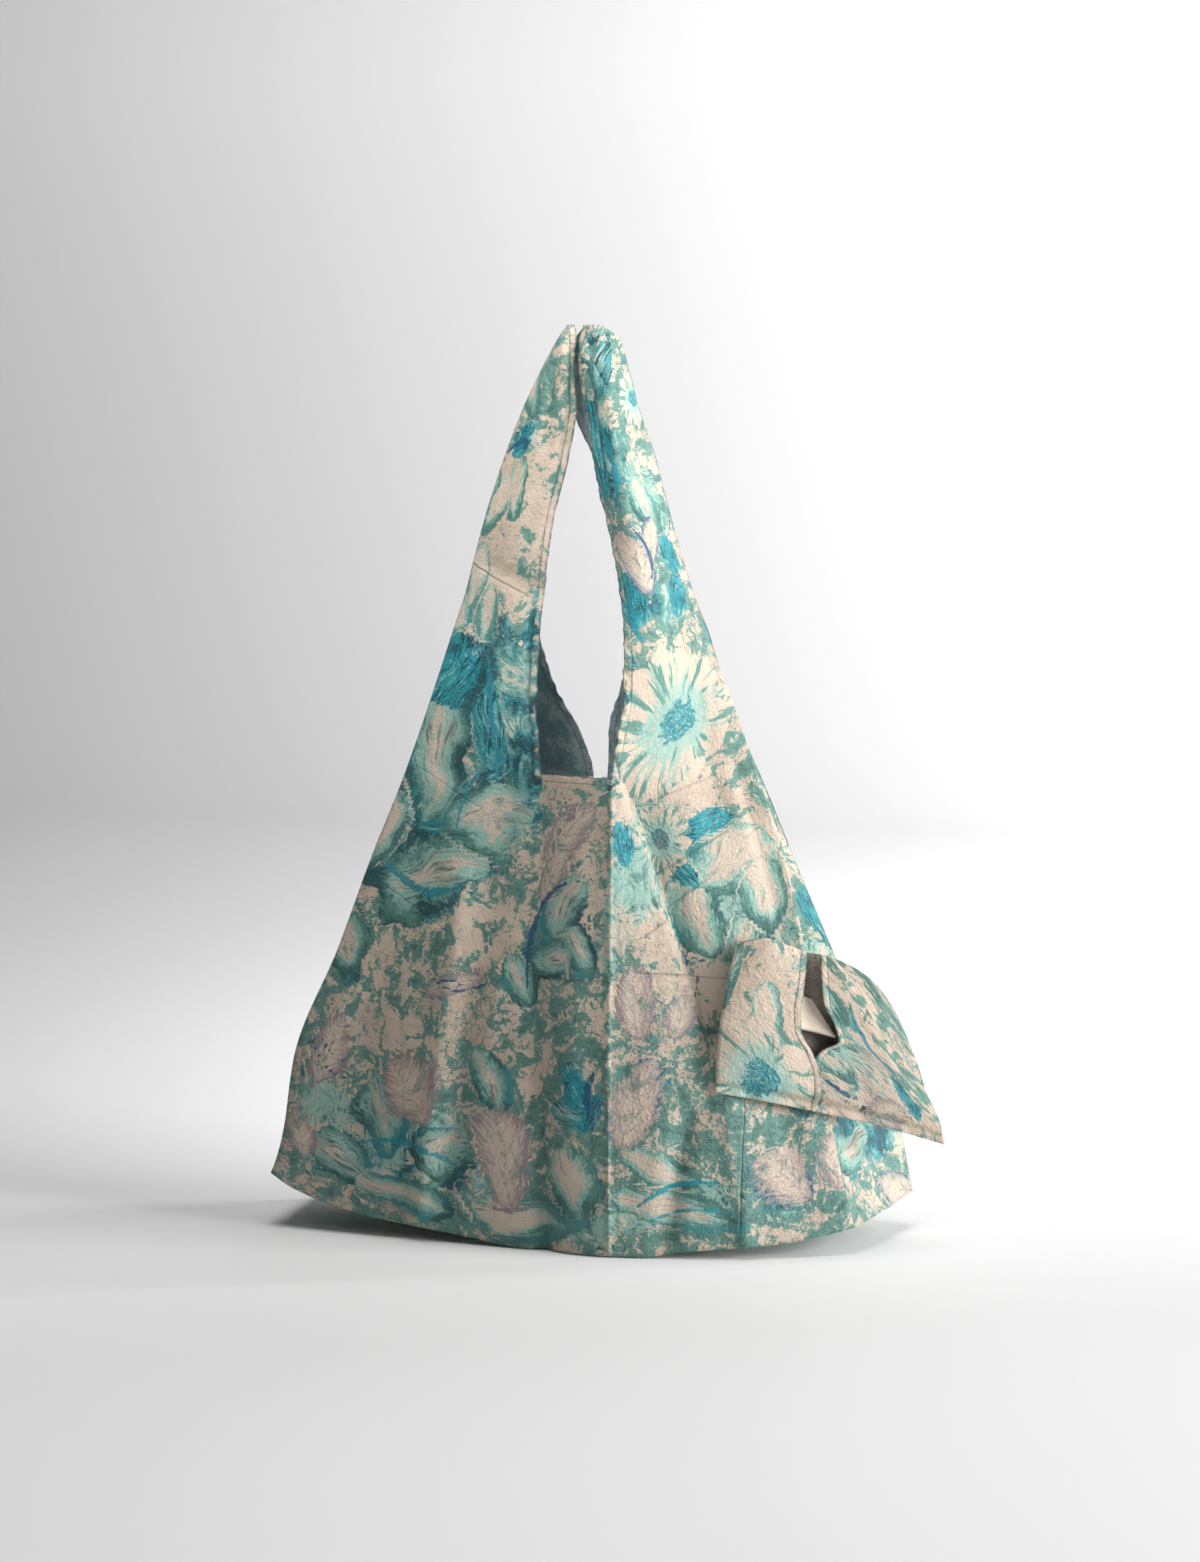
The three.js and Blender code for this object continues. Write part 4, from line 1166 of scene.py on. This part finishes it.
base, base_flat = base_surface()
base_print = scatter_print(15, (-220, -100), (230, 100))
base_fields = print_fields(base_flat, np.full(base_flat.shape[:2], FAR_FROM_HEM), base_print)
base_cloth = sew_cloth("base_cloth", base, base_flat, base_fields, turned=True)
finish_cloth(base_cloth, "base_panel")

# The pouch: one strip of the crepe folded at both sides into a flat pocket with two lapping front
# leaves. It hangs from the right side seam by its top edge.
POUCH_TOP = np.array([
    [124, -67, 216], [141, -61, 219], [155, -51, 213], [165.8, -38.8, 207],
    [178, -37, 205], [194, -34, 199], [211, -31, 187], [224, -28, 171],
])
POUCH_BOTTOM = np.array([[112, -83, 115], [143, -70, 108], [179, -52, 98], [220, -36, 87], [261, -20, 73]])
POUCH_LEFT = np.array([[124, -67, 216], [119, -72, 197], [116, -76, 174], [113, -80, 147], [112, -83, 115]])
POUCH_RIGHT = np.array([
    [224, -28, 171], [234, -26, 150], [242, -24, 129], [248, -23, 110], [257, -21, 89], [261, -20, 73],
])
POUCH_FACE = np.array([0.43, -0.9, 0.05]) / np.linalg.norm([0.43, -0.9, 0.05])
POUCH_LENGTH = 110
POUCH_LAYER = 1.9
POUCH_PUFF = 9
POUCH_CRINKLE = 1.3
POUCH_HEM = 0.8
POUCH_HEM_ZONE = (3.4, 4.6)
# Shares of the way down over which the leaves are pressed flat, and where the bottom seam's waves begin
PRESSED_ZONE = (0.9, 0.955)
SEAM_ZONE = (0.95, 0.965)
SEAM_WAVE_SIZE = 9
POUCH_ROWS = 90
LEAF_CELLS = 48
SIDE_FOLD_CELLS = 12
BACK_CELLS = 60
# Where the lips of the leaves lie: shares of the way down, and of the pouch's width
LEFT_LIP = np.array([[0, 0.42], [0.2, 0.39], [0.4, 0.36], [0.5, 0.36], [0.65, 0.43], [0.8, 0.45], [1, 0.44]])
RIGHT_LIP = np.array([
    [0, 0.50], [0.3, 0.49], [0.42, 0.53], [0.52, 0.55], [0.6, 0.47], [0.68, 0.43], [1, 0.40],
])


def edge_curve(corners):
    """Smooth curve through corner points, as a function of the share of its length."""
    knots = np.concatenate([[0], np.cumsum(np.linalg.norm(np.diff(corners, axis=0), axis=1))])
    knots = knots / knots[-1]
    return lambda share: np.stack([follow(knots, corners[:, k], share) for k in range(3)], -1)


pouch_edges = [edge_curve(corners) for corners in (POUCH_TOP, POUCH_BOTTOM, POUCH_LEFT, POUCH_RIGHT)]


def pouch_place(u, v):
    """Point of the pouch's back at shares u across and v down: the patch between its four edges."""
    top, bottom, left, right = pouch_edges
    ends = np.array([0.0, 1.0])
    corners = (*top(ends), *bottom(ends))
    return coons(top(u), bottom(u), left(v), right(v), corners, u[..., None], v[..., None])


def pouch_surface():
    """Rows from the pouch's top down. Along a row: left leaf, half-circle fold, back, half-circle fold and
    right leaf."""
    v = np.linspace(0, 1, POUCH_ROWS + 1)[:, None]
    width = np.linalg.norm(pouch_place(np.ones_like(v), v) - pouch_place(np.zeros_like(v), v), axis=-1)
    puff = POUCH_PUFF * np.sin(math.pi * np.minimum(1, 0.12 + 0.8 * v))
    left_lip = follow(LEFT_LIP[:, 0], LEFT_LIP[:, 1], v) * width
    right_lip = follow(RIGHT_LIP[:, 0], RIGHT_LIP[:, 1], v) * width
    radius = POUCH_LAYER
    small = POUCH_LAYER / 2

    def swell(share):
        return puff * np.sin(math.pi * np.clip(share, 0, 1)) ** 0.7

    leaf = np.linspace(0, 1, LEAF_CELLS + 1)
    turn = np.linspace(0, math.pi, SIDE_FOLD_CELLS + 1)[None, 1:-1]
    along_left = left_lip + (radius - left_lip) * leaf
    along_back = radius + (width - small - radius) * np.linspace(0, 1, BACK_CELLS + 1)
    along_right = width - small + (right_lip - width + small) * leaf
    along = np.concatenate([
        along_left,
        radius * (1 - np.sin(turn)) + 0 * v,
        along_back,
        width - small * (1 - np.sin(turn)),
        along_right,
    ], 1)
    forward = np.concatenate([
        2 * POUCH_LAYER + swell((along_left - radius) / width),
        radius * (1 + np.cos(turn)) + 0 * v,
        0 * along_back,
        small * (1 - np.cos(turn)) + 0 * v,
        POUCH_LAYER + swell((width - small - along_right) / width),
    ], 1)
    points = pouch_place(along / width, np.broadcast_to(v, along.shape))
    pressed_foot = 1 - 0.8 * fade_in(v, *PRESSED_ZONE)
    points = points + (forward * pressed_foot)[..., None] * POUCH_FACE
    across = length_along(points)
    flat = np.stack([across, np.broadcast_to(-POUCH_LENGTH * v, across.shape)], -1)
    on_leaf = forward > POUCH_LAYER * 0.9
    above_foot = np.clip(8 * (1 - v), 0, 1)
    hem_band = 1 - fade_in(from_ends(across), *POUCH_HEM_ZONE)
    lift = (POUCH_CRINKLE * crumple(flat, 41) * on_leaf + POUCH_HEM * hem_band) * above_foot
    seam_wave = 0.5 + 0.9 * ripple(across, 30 * v, SEAM_WAVE_SIZE, 43)
    lift = lift + fade_in(v, *SEAM_ZONE) * on_leaf * seam_wave
    return points + cloth_normals(points) * lift[..., None], flat


pouch, pouch_flat = pouch_surface()
pouch_print = scatter_print(44, (90, -120), (240, 0))
pouch_print.update({
    "flowers": [[46, -95, 52, 52, 0, 0], [285, -60, 20, 22, 0, 0.7]],
    "petals": [
        [270, -30, 14, 22, -30, 0.1], [300, -70, 15, 20, 40, 0.1], [258, -84, 6, 16, 10, 0.9],
        [318, -44, 12, 20, 0, 0.2], [62, -30, 12, 26, 8, 0], [24, -52, 12, 24, -10, 0],
        [160, -50, 14, 30, 20, 0.4], [200, -80, 14, 30, 60, 0.3],
    ],
    "leaves": [[282, -100, 10, 16, 60, 0.2], [70, -5, 12, 12, 0, 0.1], [120, -40, 16, 26, 0, 0.1]],
    "strokes": [[248, -70, 256, -50, 250, -30, 1.6, 0.4], [322, -86, 316, -92, 306, -96, 1.8, 0.1]],
    "sage": [[40, -50, 60, 60, 0, -0.5], [290, -60, 50, 70, 0, -0.4]],
    "mint": [[300, -60, 40, 60, 0, 0.5], [260, -40, 26, 40, 0, 0.2]],
    "teal": [[256, -50, 8, 26, 0, 0.5], [300, -100, 20, 12, 0, 0.5]],
})
pouch_fields = print_fields(pouch_flat, from_ends(pouch_flat[..., 0]), pouch_print)
pouch_cloth = sew_cloth("pouch_cloth", pouch, pouch_flat, pouch_fields)

# The label: a narrow white woven tape folded in two and sewn inside the pouch. It is left bare.
LABEL_TAPE = 0.5
LABEL_TOP_LEFT = (164, 178, 2.1)
LABEL_TOP_RIGHT = (171, 175, 2.4)
LABEL_LOW_LEFT = (162, 158, 7)
LABEL_LOW_RIGHT = (185, 151, 9)
LABEL_SIZE = (22, 28)
LABEL_CELLS = 24
LABEL_ROLL = 2.2
LABEL_RETURN = 7
SEARCH_STEPS = 24


def label_surface():
    """Bilinear between the label's four corners on the pouch's back, curled forward towards its lower fold.
    There it turns through a half circle and runs a little way up behind itself. The shares u and v of each
    point on the pouch are found by steps along its slopes."""
    s = np.linspace(0, 1, LABEL_CELLS + 1)[None, :, None]
    t = np.linspace(0, 1, LABEL_CELLS + 1)[:, None, None]
    top = np.array(LABEL_TOP_LEFT) * (1 - s) + np.array(LABEL_TOP_RIGHT) * s
    low = np.array(LABEL_LOW_LEFT) * (1 - s) + np.array(LABEL_LOW_RIGHT) * s
    place = top * (1 - t) + low * t
    u = np.full(place.shape[:2], 0.45)
    v = np.full(place.shape[:2], 0.4)
    for _ in range(SEARCH_STEPS):
        guess = pouch_place(u, v)
        u = u + (place[..., 0] - guess[..., 0]) / (POUCH_BOTTOM[-1, 0] - POUCH_BOTTOM[0, 0])
        v = v - (place[..., 1] - guess[..., 2]) / (POUCH_TOP[0, 2] - POUCH_LEFT[-1, 2])
    forward = place[..., 2:] * (1 - (1 - t) * t) + LABEL_TOP_LEFT[2] * (1 - t) * t
    face = pouch_place(u, v) + forward * POUCH_FACE
    down = face[-1] - face[-4]
    down = down / np.linalg.norm(down, axis=-1, keepdims=True)
    turn = np.linspace(0, math.pi, 9)[1:, None, None]
    roll = face[-1] + LABEL_ROLL * (np.sin(turn) * down - (1 - np.cos(turn)) * POUCH_FACE)
    rise = np.linspace(0, LABEL_RETURN, 6)[1:, None, None]
    return np.concatenate([face, roll, roll[-1] - rise * down])


label = label_surface()
label_flat = np.stack(np.meshgrid(
    np.linspace(0, LABEL_SIZE[0], label.shape[1]),
    np.linspace(0, -LABEL_SIZE[1], label.shape[0]),
), -1)
label_tape = sew_cloth("label_tape", label, label_flat, {}, turned=True, thickness=LABEL_TAPE)


def label_weave():
    """Off-white satin tape with a fine rib along it."""
    material, ink = blank_material("label_satin")
    place = ink.node("UVMap", {"uv_map": "flat_cloth"}, {})
    rib = ink.math("SINE", place.parts()[1] * 9000.0) * 0.5 + 0.5
    fleck = ink.noise(place, 900.0, 2.0)
    colour = ink.paint(dye("d6cbb8"), (dye("bfb4a2"), rib * 0.35 + fleck * 0.3))
    bump = ink.node("Bump", {}, {"Height": rib + fleck, "Strength": 0.4, "Distance": 0.0003})
    shader = ink.node("BsdfPrincipled", {}, {"Base Color": colour, "Roughness": 0.5, "Normal": bump})
    ink.node("OutputMaterial", {}, {"Surface": shader})
    return material


label_tape.data.materials.append(label_weave())
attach(label_tape, "root")
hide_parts("label")
# The pouch's inner side is crepe_in_shade: its wrong side with painted shade, a dark brown laid over it
finish_cloth(pouch_cloth, "pouch",
             inner=print_cloth("crepe_in_shade", True, 0.0, 0.7))
